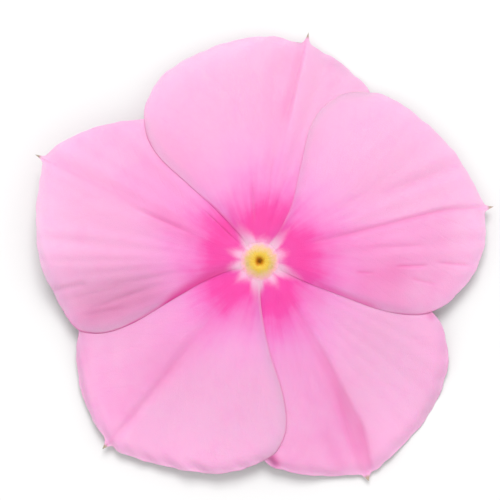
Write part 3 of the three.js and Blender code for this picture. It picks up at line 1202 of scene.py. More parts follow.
@dataclass(frozen=True)
class Petal:
    """One petal: a lopsided fan with a small point at its tip, drawn as in the frame's solid.

    Its outline is its two side edges, from the root to the tip. Its sides lie over or under their
    neighbours. The folds, the edge lines and the shadows are its own: the folds tint the face with
    the creases' deeper colour and painted crease shade, the edge lines with the margin's deeper
    colour and painted shade of the lap, and the shadows with painted shade. A shift moves the blush
    of the eye inwards or outwards, on the broad half, on the narrow half or towards the rim. The
    share is how bright its face is, set petal by petal as painted light for how the key light falls
    on it, the hem how pale its margin is, and the rim painted shade how dark its curled-down rim is
    painted.
    """

    node: str
    tip: Polar
    midrib_bend: float
    left: Side
    right: Side
    left_edge: tuple[Polar, ...]
    right_edge: tuple[Polar, ...]
    folds: tuple[Fold, ...]
    seed: int
    flush: float
    flush_end: float
    broad_shift: float
    broad_start: float
    broad_width: float = 18.0
    lines: tuple[EdgeLine, ...] = ()
    # Folds whose tint is painted shade, on sloping lobes, in wrinkles and at tucked corners.
    shadows: tuple[Fold, ...] = ()
    # How bright the face is: set petal by petal as painted light, higher where a petal tilts away from the
    # key light.
    share: float = 0.92
    # How much painted shade darkens the curled-down rim.
    rim_painted_shade: float = 0.05
    hem: float = 0.12
    narrow_shift: float = -0.25
    rim_shift: float = 0.0
    rim_start: float = 2.0
    crinkle: float = 0.05
    tuck: float = 16.0
    over_tuck: float = 0.8
    tuck_radius: float = 9.0
    curl: float = 0.08
    curl_width: float = 0.7
    waviness: float = 0.03
    waves: tuple[tuple[float, int, int], ...] = ((1, 43, 1), (0.8, 71, 2), (0.5, 113, 0))
    wave_reach: Span = (16.5, 19)
    wave_end: Span = (1.0, 0.93)
    rim_reach: Span = (18.5, 20.5)
    root_round: float = 0.9
    root_reach: Span = (5, 1.5)
    pleats: int = 6
    pleat_height: float = 0.008
    pleat_counts: Span = (24, 70)
    pleat_bend: float = 0.35
    pleat_bend_pitch: Span = (0.2, 0.5)
    pleat_reach: Span = (6, 14)
    ripples: int = 5
    ripple_share: float = 0.45
    ripple_width: float = 0.9
    ripple_pitch: Span = (0.7, 2.6)
    ripple_bend: float = 1.6
    ripple_bend_counts: Span = (5, 12)
    ripple_reach: Span = (18.6, 20.4)
    band_edge: Span = (-0.7, 0.7)
    band_core: Span = (6, 1.8)
    band_floor: float = 0.4
    flush_ease: Span = (1.5, 3.5)
    narrow_full: float = 8.0
    rim_full: float = 14.0
    far_reach: Span = (16, 22)
    hem_width: Span = (0.34, 0.06)
    hem_reach: Span = (8.5, 5)
    rim_hem: float = 0.14
    rim_hem_width: Span = (0.7, 0.05)
    rim_shade_width: Span = (1.7, 0.1)
    rim_shade_reach: Span = (16.5, 20)
    thickness: float = 0.14
    thin_margin: float = 0.35
    margin_width: float = 1.4
    clearance: float = 0.01
    columns: int = 180
    rows: int = 150
    outline_steps: int = 300
    batch: int = 2000

    def midrib(self, radius: Array) -> Array:
        """Gives the midrib's azimuth at a radius."""
        return self.tip[1] + self.midrib_bend * (1 - radius / self.tip[0])

    def edge(self, points: tuple[Polar, ...], side: Side, t: Array, outward: float, limb: Limb) -> Array:
        """Runs one side edge from the root to the tip.

        Args:
            points: The edge's outline.
            side: How it meets its neighbour: an edge that lies under is tucked in further.
            t: Places along the edge.
            outward: Which way round the throat lies away from the midrib.
            limb: The shared shape.

        Returns:
            One x, y row for each place.
        """
        made = []
        for i, (radius, azimuth) in enumerate(points):
            tuck = self.tuck if side is Side.UNDER else self.over_tuck
            shift = tuck * (1 - float(smooth(0, self.tuck_radius, radius)))
            made.append((limb.root_radius if i == 0 else radius, azimuth + outward * shift))
        run = spline((*made, self.tip), t)
        radius = np.hypot(*run.T)
        walk = np.arctan2(run[:, 1], run[:, 0])
        wave = sum(high * np.sin(count * walk + shift * self.seed) for high, count, shift in self.waves)
        out = self.waviness * wave * smooth(*self.wave_reach, radius) * smooth(*self.wave_end, t)
        return run * (1 + out / radius)[:, None]

    def plan(self, sheet: Array, limb: Limb) -> Array:
        """Lays the flat sheet out in the petal's outline.

        Args:
            sheet: Rows of x from -1, the left edge, to 1, the right edge, and y from -1 to 1.
            limb: The shared shape.

        Returns:
            One x, y row for each point, in millimetres from the throat.
        """
        t = (sheet[:, 1] + 1) / 2
        steps = np.linspace(0, 1, self.rows + 1)
        lengths = []
        for points, side, outward in self.sides():
            run = self.edge(points, side, steps, outward, limb)
            walked = np.concatenate(([0], np.cumsum(np.hypot(*np.diff(run, axis=0).T))))
            lengths.append(np.interp(t, steps, walked / walked[-1]))
        radius = limb.root_radius + (self.tip[0] - limb.root_radius) * (lengths[0] + lengths[1]) / 2
        azimuth = np.radians(self.midrib(radius))
        middle = np.column_stack((radius * np.cos(azimuth), radius * np.sin(azimuth)))
        (left, left_side, _), (right, right_side, _) = self.sides()
        left_run = self.edge(left, left_side, t, 1, limb)
        right_run = self.edge(right, right_side, t, -1, limb)
        ends = np.where(sheet[:, :1] < 0, left_run, right_run)
        share = np.abs(sheet[:, :1])
        made = middle + (ends - middle) * share
        rounded = made * (radius / np.maximum(np.hypot(*made.T), TINY))[:, None]
        near_root = smooth(*self.root_reach, radius)[:, None] * self.root_round
        return made + (rounded - made) * near_root

    def sides(self) -> tuple[tuple[tuple[Polar, ...], Side, int], ...]:
        """Lists the left and the right edge with its lap and its turn away from the midrib."""
        return ((self.left_edge, self.left, 1), (self.right_edge, self.right, -1))

    def height(self, plan: Array, margin: Array, limb: Limb) -> Array:
        """Gives the height of the middle of the petal's thickness.

        Args:
            plan: Rows of x, y.
            margin: Distance to the margin at each point, in millimetres.
            limb: The shared shape.

        Returns:
            Heights in millimetres.
        """
        radius = np.hypot(*plan.T)
        azimuth = np.degrees(np.arctan2(plan[:, 1], plan[:, 0]))
        off = turn(self.midrib(radius), azimuth)
        left_reach = turn(self.midrib(radius), self.left_edge[3][1])
        right_reach = turn(self.midrib(radius), self.right_edge[3][1])
        share = np.where(off > 0, off / left_reach, off / right_reach)
        lap = np.where(off > 0, self.left.value, self.right.value)
        made = limb.surface(radius, azimuth) + limb.lapped(lap, share, radius, margin)
        made -= self.curl * np.exp(-((margin / self.curl_width) ** 2)) * smooth(*self.rim_reach, radius)
        for fold in (*self.folds, *self.shadows):
            made -= fold.depth * fold.form(plan)
        return made + self.unevenness(plan, radius, azimuth, margin)

    def unevenness(self, plan: Array, radius: Array, azimuth: Array, margin: Array) -> Array:
        """Adds faint pleats along the blade and a crinkle along its free margin.

        Args:
            plan: Rows of x, y.
            radius: Their distances from the throat.
            azimuth: Their azimuths in degrees.
            margin: Their distances to the margin.

        Returns:
            Heights in millimetres.
        """
        draw = random.Random(self.seed)
        made = np.zeros(len(plan))
        turned = np.radians(azimuth)
        for _ in range(self.pleats):
            count, phase = draw.uniform(*self.pleat_counts), draw.uniform(0, math.tau)
            bend = np.sin(radius * draw.uniform(*self.pleat_bend_pitch) + phase)
            pleat = np.sin(turned * count + self.pleat_bend * bend + phase)
            made += self.pleat_height * pleat * smooth(*self.pleat_reach, radius)
        for _ in range(self.ripples):
            pitch, phase = draw.uniform(*self.ripple_pitch), draw.uniform(0, math.tau)
            walk = turned * radius * pitch
            walk += self.ripple_bend * np.sin(turned * draw.uniform(*self.ripple_bend_counts) + phase)
            ripple = self.crinkle * self.ripple_share * np.sin(walk + phase)
            ripple = ripple * smooth(*self.ripple_reach, radius)
            made += ripple * np.exp(-((margin / self.ripple_width) ** 2))
        return made

    def marks(self, plan: Array, margin: Array) -> dict[str, Array]:
        """Works out what the petal's materials read.

        Args:
            plan: Rows of x, y.
            margin: Distance to the margin at each point, in millimetres.

        Returns:
            "Blade", with rows of turn from the midrib, distance to the margin and to the tip;
            "Tone", with rows of flush, shift of the eye's blush, and paleness of the hem; and
            "Crease", with rows of how much the folds tint the skin with crease colour and painted
            crease shade, how much the edge lines tint it with margin colour and painted lap shade,
            and how much painted shade the rim and the shadows lay on it.
        """
        radius = np.hypot(*plan.T)
        off = turn(self.midrib(radius), np.degrees(np.arctan2(plan[:, 1], plan[:, 0])))
        tip = np.hypot(*(plan - Fold.spot(self.tip)).T)
        beside = -radius * np.sin(np.radians(off))
        core = self.band_floor + (1 - self.band_floor) * smooth(*self.band_core, beside)
        band = smooth(*self.band_edge, beside) * core
        before, after = self.flush_ease
        flush = self.flush * band * smooth(self.flush_end + before, self.flush_end - after, radius)
        broad = self.broad_shift * smooth(self.broad_start, self.broad_start + self.broad_width, off)
        far = smooth(*self.far_reach, radius) * smooth(self.rim_start, self.rim_full, off)
        shift = broad + self.narrow_shift * smooth(0, self.narrow_full, -off) + self.rim_shift * far
        root = self.hem * (off > 0) * smooth(*self.hem_width, margin) * smooth(*self.hem_reach, radius)
        rim = self.rim_hem * smooth(*self.rim_hem_width, margin) * smooth(*self.rim_reach, radius)
        creased = sum(fold.shade * fold.form(plan) for fold in self.folds)
        lined = sum((line.form(radius, off, margin) for line in self.lines), np.zeros(len(plan)))
        # Painted shade along the curled-down rim and under the petal's shadows.
        painted_shading = self.rim_painted_shade * smooth(*self.rim_shade_width, margin) * smooth(*self.rim_shade_reach, radius)
        painted_shading += sum(fold.shade * fold.form(plan) for fold in self.shadows)
        return {
            "Blade": np.column_stack((np.radians(off), margin, tip)),
            "Tone": np.column_stack((flush, shift, np.maximum(root, rim))),
            "Crease": np.column_stack((creased, lined, painted_shading)),
        }

    def margin_distance(self, plan: Array, sheet: Array, limb: Limb) -> Array:
        """Measures how far each point lies from the petal's outline.

        Args:
            plan: Rows of x, y.
            sheet: The same points on the flat sheet.
            limb: The shared shape.

        Returns:
            Distances in millimetres.
        """
        t = np.linspace(0, 1, self.outline_steps)
        outline = np.concatenate(
            [self.edge(points, side, t, outward, limb) for points, side, outward in self.sides()]
        )
        made = np.empty(len(plan))
        for start in range(0, len(plan), self.batch):
            gap = plan[start : start + self.batch, None] - outline[None]
            made[start : start + self.batch] = np.sqrt((gap**2).sum(2).min(1))
        made[np.abs(sheet[:, 0]) > SHEET_EDGE] = 0
        return made

    def build(self, limb: Limb, throat: Vector, face: bpy.types.Material, back: bpy.types.Material) -> None:
        """Makes the petal: a sheet laid out in its outline, raised, creased and given its thickness.

        Args:
            limb: The shared shape.
            throat: The middle of the mouth, in plan.
            face: The upper side's material.
            back: The underside's material.
        """
        piece = Bench.grid(self.node + "_blade", self.columns, self.rows)
        sheet = Bench.points(piece)
        plan = self.plan(sheet, limb)
        margin = self.margin_distance(plan, sheet, limb)
        weight = self.thin_margin + (1 - self.thin_margin) * smooth(0, self.margin_width, margin)
        for name, values in self.marks(plan, margin).items():
            Bench.mark(piece, name, values)
        height = np.maximum(self.height(plan, margin, limb), self.thickness * weight / 2 + self.clearance)
        Bench.place(piece, (np.column_stack((plan, height)) + np.array(throat) / MM) * MM)
        group = piece.vertex_groups.new(name="Thickness")
        for index, value in enumerate(weight):
            group.add([index], float(value), "REPLACE")
        piece.data.materials.append(face)
        piece.data.materials.append(back)
        Bench.edit(piece, lambda: bpy.ops.mesh.remove_doubles(threshold=MERGE))
        self.face_up(piece)
        Bench.modify(
            piece,
            "SOLIDIFY",
            thickness=self.thickness * MM,
            offset=0,
            vertex_group=group.name,
            thickness_vertex_group=0.0,
            use_even_offset=False,
            material_offset=1,
            material_offset_rim=0,
        )
        Bench.finish(piece, Slot.PETAL, [self.node])

    @staticmethod
    def face_up(piece: Piece) -> None:
        """Turns an open sheet's faces upwards.

        Args:
            piece: The sheet.
        """
        total = sum(face.normal.z * face.area for face in piece.data.polygons)
        if total < 0:
            Bench.edit(piece, lambda: bpy.ops.mesh.flip_normals())


@dataclass(frozen=True)
class Route:
    """The corolla tube's middle line: down from the mouth, folded over, then along in a level arc."""

    mouth_height: float = 4.5
    neck: float = 0.3
    rest_height: float = 1.4
    azimuth: float = 139.0
    curl_radius: float = 17.0
    length: float = 21.0

    @property
    def fold_radius(self) -> float:
        """Gives the radius of the fold."""
        return self.mouth_height - self.neck - self.rest_height

    def frame(self, station: float) -> tuple[Vector, Vector, Vector, Vector]:
        """Gives the place and directions at a length along the line.

        Args:
            station: Millimetres from the mouth.

        Returns:
            The line's centre, the direction ahead, and two directions across it.
        """
        fold = min(max((station - self.neck) / self.fold_radius, 0), math.pi / 2)
        lying = max(0.0, station - self.neck - self.fold_radius * math.pi / 2)
        start = math.radians(self.azimuth)
        heading = start + lying / self.curl_radius
        level = Vector((math.cos(heading), math.sin(heading), 0))
        side = Vector((level.y, -level.x, 0))
        out = self.fold_radius * (1 - math.cos(fold))
        centre = Vector((math.cos(start) * out, math.sin(start) * out, 0))
        centre.z = self.mouth_height - min(station, self.neck) - self.fold_radius * math.sin(fold)
        centre.x += self.curl_radius * (math.sin(heading) - math.sin(start))
        centre.y -= self.curl_radius * (math.cos(heading) - math.cos(start))
        up = level * math.cos(fold) + Vector((0, 0, math.sin(fold)))
        return centre, up.cross(side), up, side

    def point(self, radius: float, angle: float, station: float) -> Vector:
        """Gives a point beside the line, at a radius and angle across it."""
        centre, _, up, side = self.frame(station)
        return centre + float(radius) * (math.cos(angle) * up + math.sin(angle) * side)


@dataclass(frozen=True)
class Sweep:
    """A skin of rings along the tube's route, extruded ring by ring from its first one."""

    name: str
    profile: tuple[tuple[float, float], ...]
    sides: int = 48
    step: float = 0.4
    lobe: float = 0.0
    lobes: int = 5

    def stations(self) -> list[tuple[float, float]]:
        """Adds rings where the profile runs further than one step, on a smooth curve.

        Returns:
            (radius, station) of each ring.
        """
        made = []
        points = self.profile
        for i in range(len(points) - 1):
            (r0, s0), (r1, s1) = points[i], points[i + 1]
            before = points[max(i - 1, 0)]
            after = points[min(i + 2, len(points) - 1)]
            count = max(1, math.ceil(math.hypot(r1 - r0, s1 - s0) / self.step))
            for k in range(count):
                w = k / count
                m0 = (r1 - before[0]) / 2
                m1 = (after[0] - r0) / 2
                radius = (2 * w**3 - 3 * w**2 + 1) * r0 + (w**3 - 2 * w**2 + w) * m0
                radius += (3 * w**2 - 2 * w**3) * r1 + (w**3 - w**2) * m1
                made.append((max(radius, 0.01), s0 + (s1 - s0) * w))
        made.append(points[-1])
        return made

    def build(self, route: Route, throat: Vector) -> Piece:
        """Adds the first ring, extrudes the rest and lays every ring on the route.

        Args:
            route: The way that the tube takes.
            throat: The middle of the mouth, in plan.

        Returns:
            The open skin.
        """
        rings = self.stations()
        Bench.clear()
        bpy.ops.mesh.primitive_circle_add(vertices=self.sides, radius=rings[0][0] * MM, fill_type="NOTHING")
        piece = Bench.named(self.name)
        down = {"value": (0, 0, -MM)}
        extrude = [lambda: bpy.ops.mesh.extrude_region_move(TRANSFORM_OT_translate=down)]
        Bench.edit(piece, *(extrude * (len(rings) - 1)))
        found = Bench.points(piece)
        depth = np.rint(-found[:, 2] / MM).astype(int)
        angle = np.arctan2(found[:, 1], found[:, 0])
        made = []
        for ring, turned in zip(depth, angle):
            radius, station = rings[ring]
            lobed = radius * (1 + self.lobe * math.cos(self.lobes * turned))
            made.append(route.point(lobed, turned, station))
        Bench.place(piece, (np.array(made) + np.array(throat) / MM) * MM)
        self.unwrap(piece, depth / max(depth.max(), 1), (angle / math.tau) % 1)
        return piece

    @staticmethod
    def unwrap(piece: Piece, along: Array, around: Array) -> None:
        """Gives the skin a UV map: U once there and back round it, V along it.

        Args:
            piece: The skin.
            along: Places along it from 0 to 1, one for each point.
            around: Places round it from 0 to 1, one for each point.
        """
        layer = piece.data.uv_layers.new(name="UVMap")
        there_and_back = 1 - np.abs(2 * around - 1)
        for loop, uv in zip(piece.data.loops, layer.data):
            uv.uv = (there_and_back[loop.vertex_index], along[loop.vertex_index])


@dataclass(frozen=True)
class CorollaTube:
    """The tube under the petals: a flared mouth, a swelling for the anthers and a slender neck."""

    wall: float = 0.22
    profile: tuple[tuple[float, float], ...] = (
        (3.0, 0.05), (2.3, 0.35), (1.72, 0.9), (1.55, 1.5), (1.6, 2.4), (1.35, 3.4), (1.05, 4.7),
        (0.95, 8.0), (0.85, 14.0), (0.8, 19.5), (0.8, 21.0),
    )

    def build(self, route: Route, throat: Vector) -> None:
        """Makes the tube as a skin with a wall.

        Args:
            route: The way that the tube takes.
            throat: The middle of the mouth, in plan.
        """
        piece = Sweep("corolla_tube_skin", self.profile, lobe=0.03).build(route, throat)
        Bench.edit(piece, lambda: bpy.ops.mesh.normals_make_consistent(inside=False))
        Bench.modify(piece, "SOLIDIFY", thickness=self.wall * MM, offset=-1, use_rim=True)
        finish = StemFinish(
            "Tube skin",
            base=(238, 208, 222),
            streak=(226, 186, 206),
            foot=(214, 222, 176),
            foot_start=0.72,
            foot_end=0.98,
            relief=0.05,
        )
        Bench.finish(piece, Slot.TUBE, ["corolla_tube"], [finish.build()])


@dataclass(frozen=True)
class ThroatRing:
    """The raised yellow ring: a profile spun round the mouth, with a low lobe for each petal."""

    profile: tuple[tuple[float, float], ...] = (
        (0.34, 4.72), (0.16, 4.9), (0.14, 5.0), (0.2, 5.08), (0.3, 5.17), (0.4, 5.28), (0.52, 5.36),
        (0.68, 5.41), (0.88, 5.4), (1.08, 5.35), (1.28, 5.28), (1.48, 5.19), (1.68, 5.11),
        (1.86, 5.045), (2.0, 5.0), (2.12, 4.95), (2.16, 4.9), (2.0, 4.84), (1.4, 4.76), (0.8, 4.68),
    )
    steps: int = 160
    lobe: float = 0.035
    lobe_height: float = 0.03
    lobe_width: float = 24.0
    lobe_mean: float = 0.6
    lobe_start: Span = (0.6, 1.3)
    lobe_end: Span = (2.4, 1.5)
    top_reach: Span = (4.85, 5.1)
    wrinkle: float = 0.004
    wrinkles: int = 6
    wrinkle_counts: tuple[int, int] = (9, 31)
    wrinkle_pitch: Span = (1, 4)
    seed: int = 5

    def build(self, throat: Vector, petals: Sequence[Petal]) -> None:
        """Adds the profile as a ring of points, spins it and wrinkles it.

        Args:
            throat: The middle of the mouth, in plan.
            petals: The petals that the ring's lobes face.
        """
        Bench.clear()
        bpy.ops.mesh.primitive_circle_add(vertices=len(self.profile), radius=MM, fill_type="NOTHING")
        piece = Bench.named("throat_ring_wax")
        first = [(throat.x + r * MM, throat.y, z * MM) for r, z in self.profile]
        Bench.place(piece, np.array(first))
        spin = {"steps": self.steps, "angle": math.tau, "center": throat, "axis": (0, 0, 1)}
        Bench.edit(piece, lambda: bpy.ops.mesh.spin(**spin))
        Bench.outward(piece)
        found = Bench.points(piece)
        flat = found[:, :2] - np.array([throat.x, throat.y])
        azimuth = np.arctan2(flat[:, 1], flat[:, 0])
        radius = np.hypot(*flat.T) / MM
        swell = np.zeros(len(found))
        for petal in petals:
            swell += np.exp(-((turn(petal.tip[1], np.degrees(azimuth)) / self.lobe_width) ** 2))
        draw = random.Random(self.seed)
        rough = np.zeros(len(found))
        for _ in range(self.wrinkles):
            walk = azimuth * draw.randint(*self.wrinkle_counts) + radius * draw.uniform(*self.wrinkle_pitch)
            rough += np.sin(walk + draw.uniform(0, math.tau))
        outer = smooth(*self.lobe_start, radius) * smooth(*self.lobe_end, radius)
        top = smooth(*self.top_reach, found[:, 2] / MM)
        found[:, :2] += flat * (self.lobe * (swell - self.lobe_mean) * outer)[:, None]
        proud = self.wrinkle * rough + self.lobe_height * (swell - self.lobe_mean) * outer
        found[:, 2] += MM * top * proud
        Bench.place(piece, found)
        Bench.finish(piece, Slot.THROAT, ["throat_ring"], [RingFinish().build()])


@dataclass(frozen=True)
class ThroatHairs:
    """Short stiff hairs that lean in over the mouth from the ring's inner wall."""

    count: int = 44
    length: float = 0.3
    radius: float = 0.016
    tip_radius: float = 0.002
    wall: float = 0.35
    heights: Span = (4.9, 5.16)
    tilts: Span = (50, 95)
    sizes: Span = (0.6, 1.0)
    stray: float = 0.3
    seed: int = 11

    def build(self, throat: Vector) -> None:
        """Models one hair and copies it round the mouth.

        Args:
            throat: The middle of the mouth, in plan.
        """
        Bench.clear()
        sizes = {"radius1": self.radius * MM, "radius2": self.tip_radius * MM, "depth": self.length * MM}
        bpy.ops.mesh.primitive_cone_add(vertices=5, **sizes)
        first = Bench.named("throat_hair")
        tip_up = Bench.points(first) + np.array([0, 0, self.length * MM / 2])
        draw = random.Random(self.seed)
        hairs = []
        for i in range(self.count):
            copy = first.copy()
            copy.data = first.data.copy()
            bpy.context.collection.objects.link(copy)
            azimuth = math.tau * (i + draw.uniform(-self.stray, self.stray)) / self.count
            height = draw.uniform(*self.heights) * MM
            root = Vector((throat.x, throat.y, height))
            root += self.wall * MM * Vector((math.cos(azimuth), math.sin(azimuth), 0))
            tilt = math.radians(draw.uniform(*self.tilts))
            spun = Matrix.Rotation(azimuth + draw.uniform(-self.stray, self.stray), 3, "Z")
            lean = spun @ Matrix.Rotation(-tilt, 3, "Y")
            sized = tip_up * draw.uniform(*self.sizes)
            Bench.place(copy, sized @ np.array(lean).T + np.array(root))
            hairs.append(copy)
        bpy.data.objects.remove(first)
        piece = Bench.join("throat_hairs", hairs)
        finish = NodeFinish("Throat hair", (216, 152, 16), (180, 116, 6))
        Bench.finish(piece, Slot.THROAT, [], [finish.build()])


@dataclass(frozen=True)
class Anthers:
    """Five anthers that lean together in a cone just under the mouth."""

    count: int = 5
    start: float = -0.7
    end: float = 3.0
    spread: float = 0.36
    half_width: float = 0.27
    half_depth: float = 0.2
    seam_depth: float = 0.22
    seam_width: float = 0.4
    tip_share: float = 0.35
    tip_spread: float = 0.25
    swell_start: float = 0.12
    swell_length: float = 0.8
    swell_power: float = 0.8
    least_out: float = 0.05

    def build(self, route: Route, throat: Vector) -> None:
        """Models one anther as a pointed pod with a seam and copies it round the route.

        Args:
            route: The way that the tube takes.
            throat: The middle of the mouth, in plan.
        """
        pods = []
        for index in range(self.count):
            middle = math.tau * index / self.count
            Bench.clear()
            bpy.ops.mesh.primitive_uv_sphere_add(segments=20, ring_count=28, radius=1)
            pod = Bench.named(f"anther_{index}")
            made = []
            for x, y, z in Bench.points(pod):
                share = (1 - z) / 2
                place = min(1, self.swell_start + self.swell_length * share)
                round_out = math.sin(math.pi * place) ** self.swell_power
                swell = self.tip_share + (1 - self.tip_share) * round_out
                seam = 1 - self.seam_depth * math.exp(-((math.atan2(y, x) / self.seam_width) ** 2))
                spread = self.spread * (self.tip_spread + (1 - self.tip_spread) * share)
                out = spread + self.half_depth * x * swell * seam
                across = self.half_width * y * swell
                angle = middle + math.atan2(across, max(out, self.least_out))
                station = self.start + (self.end - self.start) * share
                made.append(route.point(math.hypot(out, across), angle, station))
            Bench.place(pod, (np.array(made) + np.array(throat) / MM) * MM)
            pods.append(pod)
        piece = Bench.join("anthers", pods)
        Bench.outward(piece)
        finish = NodeFinish("Anther skin", (200, 138, 20), (164, 104, 8))
        Bench.finish(piece, Slot.ANTHERS, ["anther_cone"], [finish.build()])


@dataclass(frozen=True)
class Calyx:
    """The green cup at the foot of the tube, with five awl-shaped sepals and a stub of stalk."""

    cup: tuple[tuple[float, float], ...] = (
        (1.02, 20.2), (1.2, 20.02), (1.36, 20.3), (1.4, 21.2), (1.36, 22.3), (1.12, 23.1),
        (0.78, 23.7), (0.6, 24.4), (0.56, 25.1),
    )
    sepals: int = 5
    sepal_root: float = 21.4
    sepal_length: float = 5.2
    sepal_radius: float = 1.4
    half_width: float = 0.6
    half_thickness: float = 0.16
    lift: float = 0.25
    thickness: float = 0.22
    tip_width: float = 0.015
    skin: float = 0.08
    pith: float = 0.12
    sunk: float = 0.03
    rim_reach: float = 1.2
    columns: int = 12
    rows: int = 26
    clearance: float = 0.006

    def build_cup(self, route: Route, throat: Vector) -> Piece:
        """Makes the cup and stalk, closed inside the tube and at the cut end.

        Args:
            route: The way that the tube takes.
            throat: The middle of the mouth, in plan.

        Returns:
            The cup and stalk as one closed piece.
        """
        piece = Sweep("calyx_cup", self.cup, sides=40, step=0.22, lobe=0.02).build(route, throat)
        uses = Counter(key for face in piece.data.polygons for key in face.edge_keys)
        rim = {vertex for key, count in uses.items() if count == 1 for vertex in key}
        steps = [
            lambda: bpy.ops.mesh.inset(thickness=self.skin * MM, depth=0),
            lambda: bpy.ops.mesh.inset(thickness=self.pith * MM, depth=-self.sunk * MM),
        ]
        for (radius, station), then in ((self.cup[0], []), (self.cup[-1], steps)):
            reach = self.rim_reach * radius * MM
            self.close(piece, rim, route.frame(station)[0] * MM + throat, reach, *then)
        return piece

    @staticmethod
    def close(
        piece: Piece, rim: set[int], centre: Vector, reach: float, *steps: Callable[[], object]
    ) -> None:
        """Fills one open end of the cup and stalk.

        Args:
            piece: The cup and stalk.
            rim: The points of both open ends.
            centre: The middle of this end, in metres.
            reach: How far from there its points may lie, in metres.
            steps: Calls to make in edit mode, with the new face selected.
        """
        Bench.only(piece)
        for vertex in piece.data.vertices:
            vertex.select = vertex.index in rim and (vertex.co - centre).length < reach
        for face in piece.data.polygons:
            face.select = False
        for edge in piece.data.edges:
            edge.select = all(piece.data.vertices[v].select for v in edge.vertices)
        bpy.ops.object.mode_set(mode="EDIT")
        bpy.ops.mesh.edge_face_add()
        for step in steps:
            step()
        bpy.ops.object.mode_set(mode="OBJECT")

    def build_sepal(self, index: int, route: Route, throat: Vector) -> Piece:
        """Lays one sepal along the tube, pointing towards the petals.

        Args:
            index: Which sepal.
            route: The way that the tube takes.
            throat: The middle of the mouth, in plan.

        Returns:
            The sepal.
        """
        middle = math.tau * index / self.sepals
        piece = Bench.grid(f"sepal_{index}", self.columns, self.rows)
        made = []
        for x, y, _ in Bench.points(piece):
            along = (y + 1) / 2
            width = self.half_width * (1 - along**1.5) + self.tip_width
            station = self.sepal_root - self.sepal_length * along
            keel = self.half_thickness * (1 - x * x) * (1 - along)
            radius = self.sepal_radius + keel + self.lift * along**2 * math.cos(middle) ** 2
            made.append(route.point(radius, middle + width * x / self.sepal_radius, station))
        Bench.place(piece, (np.array(made) + np.array(throat) / MM) * MM)
        Bench.edit(piece, lambda: bpy.ops.mesh.remove_doubles(threshold=MERGE))
        Bench.modify(piece, "SOLIDIFY", thickness=self.thickness * MM, offset=0, use_rim=True)
        return piece

    def build(self, route: Route, throat: Vector) -> None:
        """Joins the cup and its sepals and keeps them above the ground.

        Args:
            route: The way that the tube takes.
            throat: The middle of the mouth, in plan.
        """
        parts = [self.build_cup(route, throat)]
        parts += [self.build_sepal(i, route, throat) for i in range(self.sepals)]
        piece = Bench.join("calyx_and_stalk", parts)
        Bench.edit(piece, lambda: bpy.ops.mesh.normals_make_consistent(inside=False))
        found = Bench.points(piece)
        found[:, 2] = np.maximum(found[:, 2], self.clearance * MM)
        Bench.place(piece, found)
        finish = StemFinish(
            "Calyx skin",
            base=(140, 164, 84),
            streak=(116, 144, 66),
            foot=(170, 178, 112),
            foot_start=0.6,
            foot_end=1.0,
        )
        Bench.finish(piece, Slot.CALYX, ["calyx"], [finish.build()])


@dataclass(frozen=True)
class Studio:
    """A pale floor, soft light from above and the top of the view, and a camera looking straight down."""

    floor_width: float = 3.0
    floor_tone: Tone = (252, 251, 251)
    floor_share: float = 0.84
    floor_gloss: float = 0.1
    floor_roughness: float = 0.9
    view_width: float = 50.0
    view_centre: tuple[float, float] = (-0.95, 1.1)
    lens: float = 180.0
    sensor: float = 36.0
    nearest: float = 0.01
    sky_strength: float = 0.8
    key_power: float = 3.5
    key_size: float = 0.35
    key_place: tuple[float, float, float] = (0.0, 0.43, 0.6)

    def build(self, throat: Vector) -> None:
        """Sets up the stage.

        Args:
            throat: The middle of the mouth, in plan.
        """
        self.build_floor()
        self.build_light()
        self.build_camera(throat)
        bpy.context.scene.view_settings.view_transform = "Standard"
        bpy.context.scene.view_settings.look = "None"

    def build_floor(self) -> None:
        """Lays the floor."""
        Bench.clear()
        bpy.ops.mesh.primitive_plane_add(size=self.floor_width)
        floor = Bench.named("floor")
        paint = Painter("Floor", self.floor_roughness)
        paint.shader.inputs["Base Color"].default_value = linear(self.floor_tone, self.floor_share)
        paint.shader.inputs["Specular IOR Level"].default_value = self.floor_gloss
        floor.data.materials.append(paint.material)

    def build_light(self) -> None:
        """Adds the sky and one large soft key light."""
        world = bpy.data.worlds.new("Studio sky")
        world.use_nodes = True
        sky = world.node_tree.nodes["Background"]
        sky.inputs["Color"].default_value = (1, 1, 1, 1)
        sky.inputs["Strength"].default_value = self.sky_strength
        bpy.context.scene.world = world
        place = Vector(self.key_place)
        bpy.ops.object.light_add(type="AREA", location=place)
        key = bpy.context.object
        key.name = "Key light"
        key.data.size = self.key_size
        key.data.energy = self.key_power
        key.rotation_euler = (-place).to_track_quat("-Z", "Y").to_euler()

    def build_camera(self, throat: Vector) -> None:
        """Looks straight down with a long lens, with the view's top towards +Y.

        Args:
            throat: The middle of the mouth, in plan.
        """
        distance = self.view_width * MM * self.lens / self.sensor
        x, y = self.view_centre
        bpy.ops.object.camera_add(location=(throat.x + x * MM, throat.y + y * MM, distance))
        camera = bpy.context.object
        camera.data.lens = self.lens
        camera.data.sensor_width = self.sensor
        camera.data.clip_start = self.nearest
        camera.rotation_euler = (0, 0, 0)
        bpy.context.scene.camera = camera


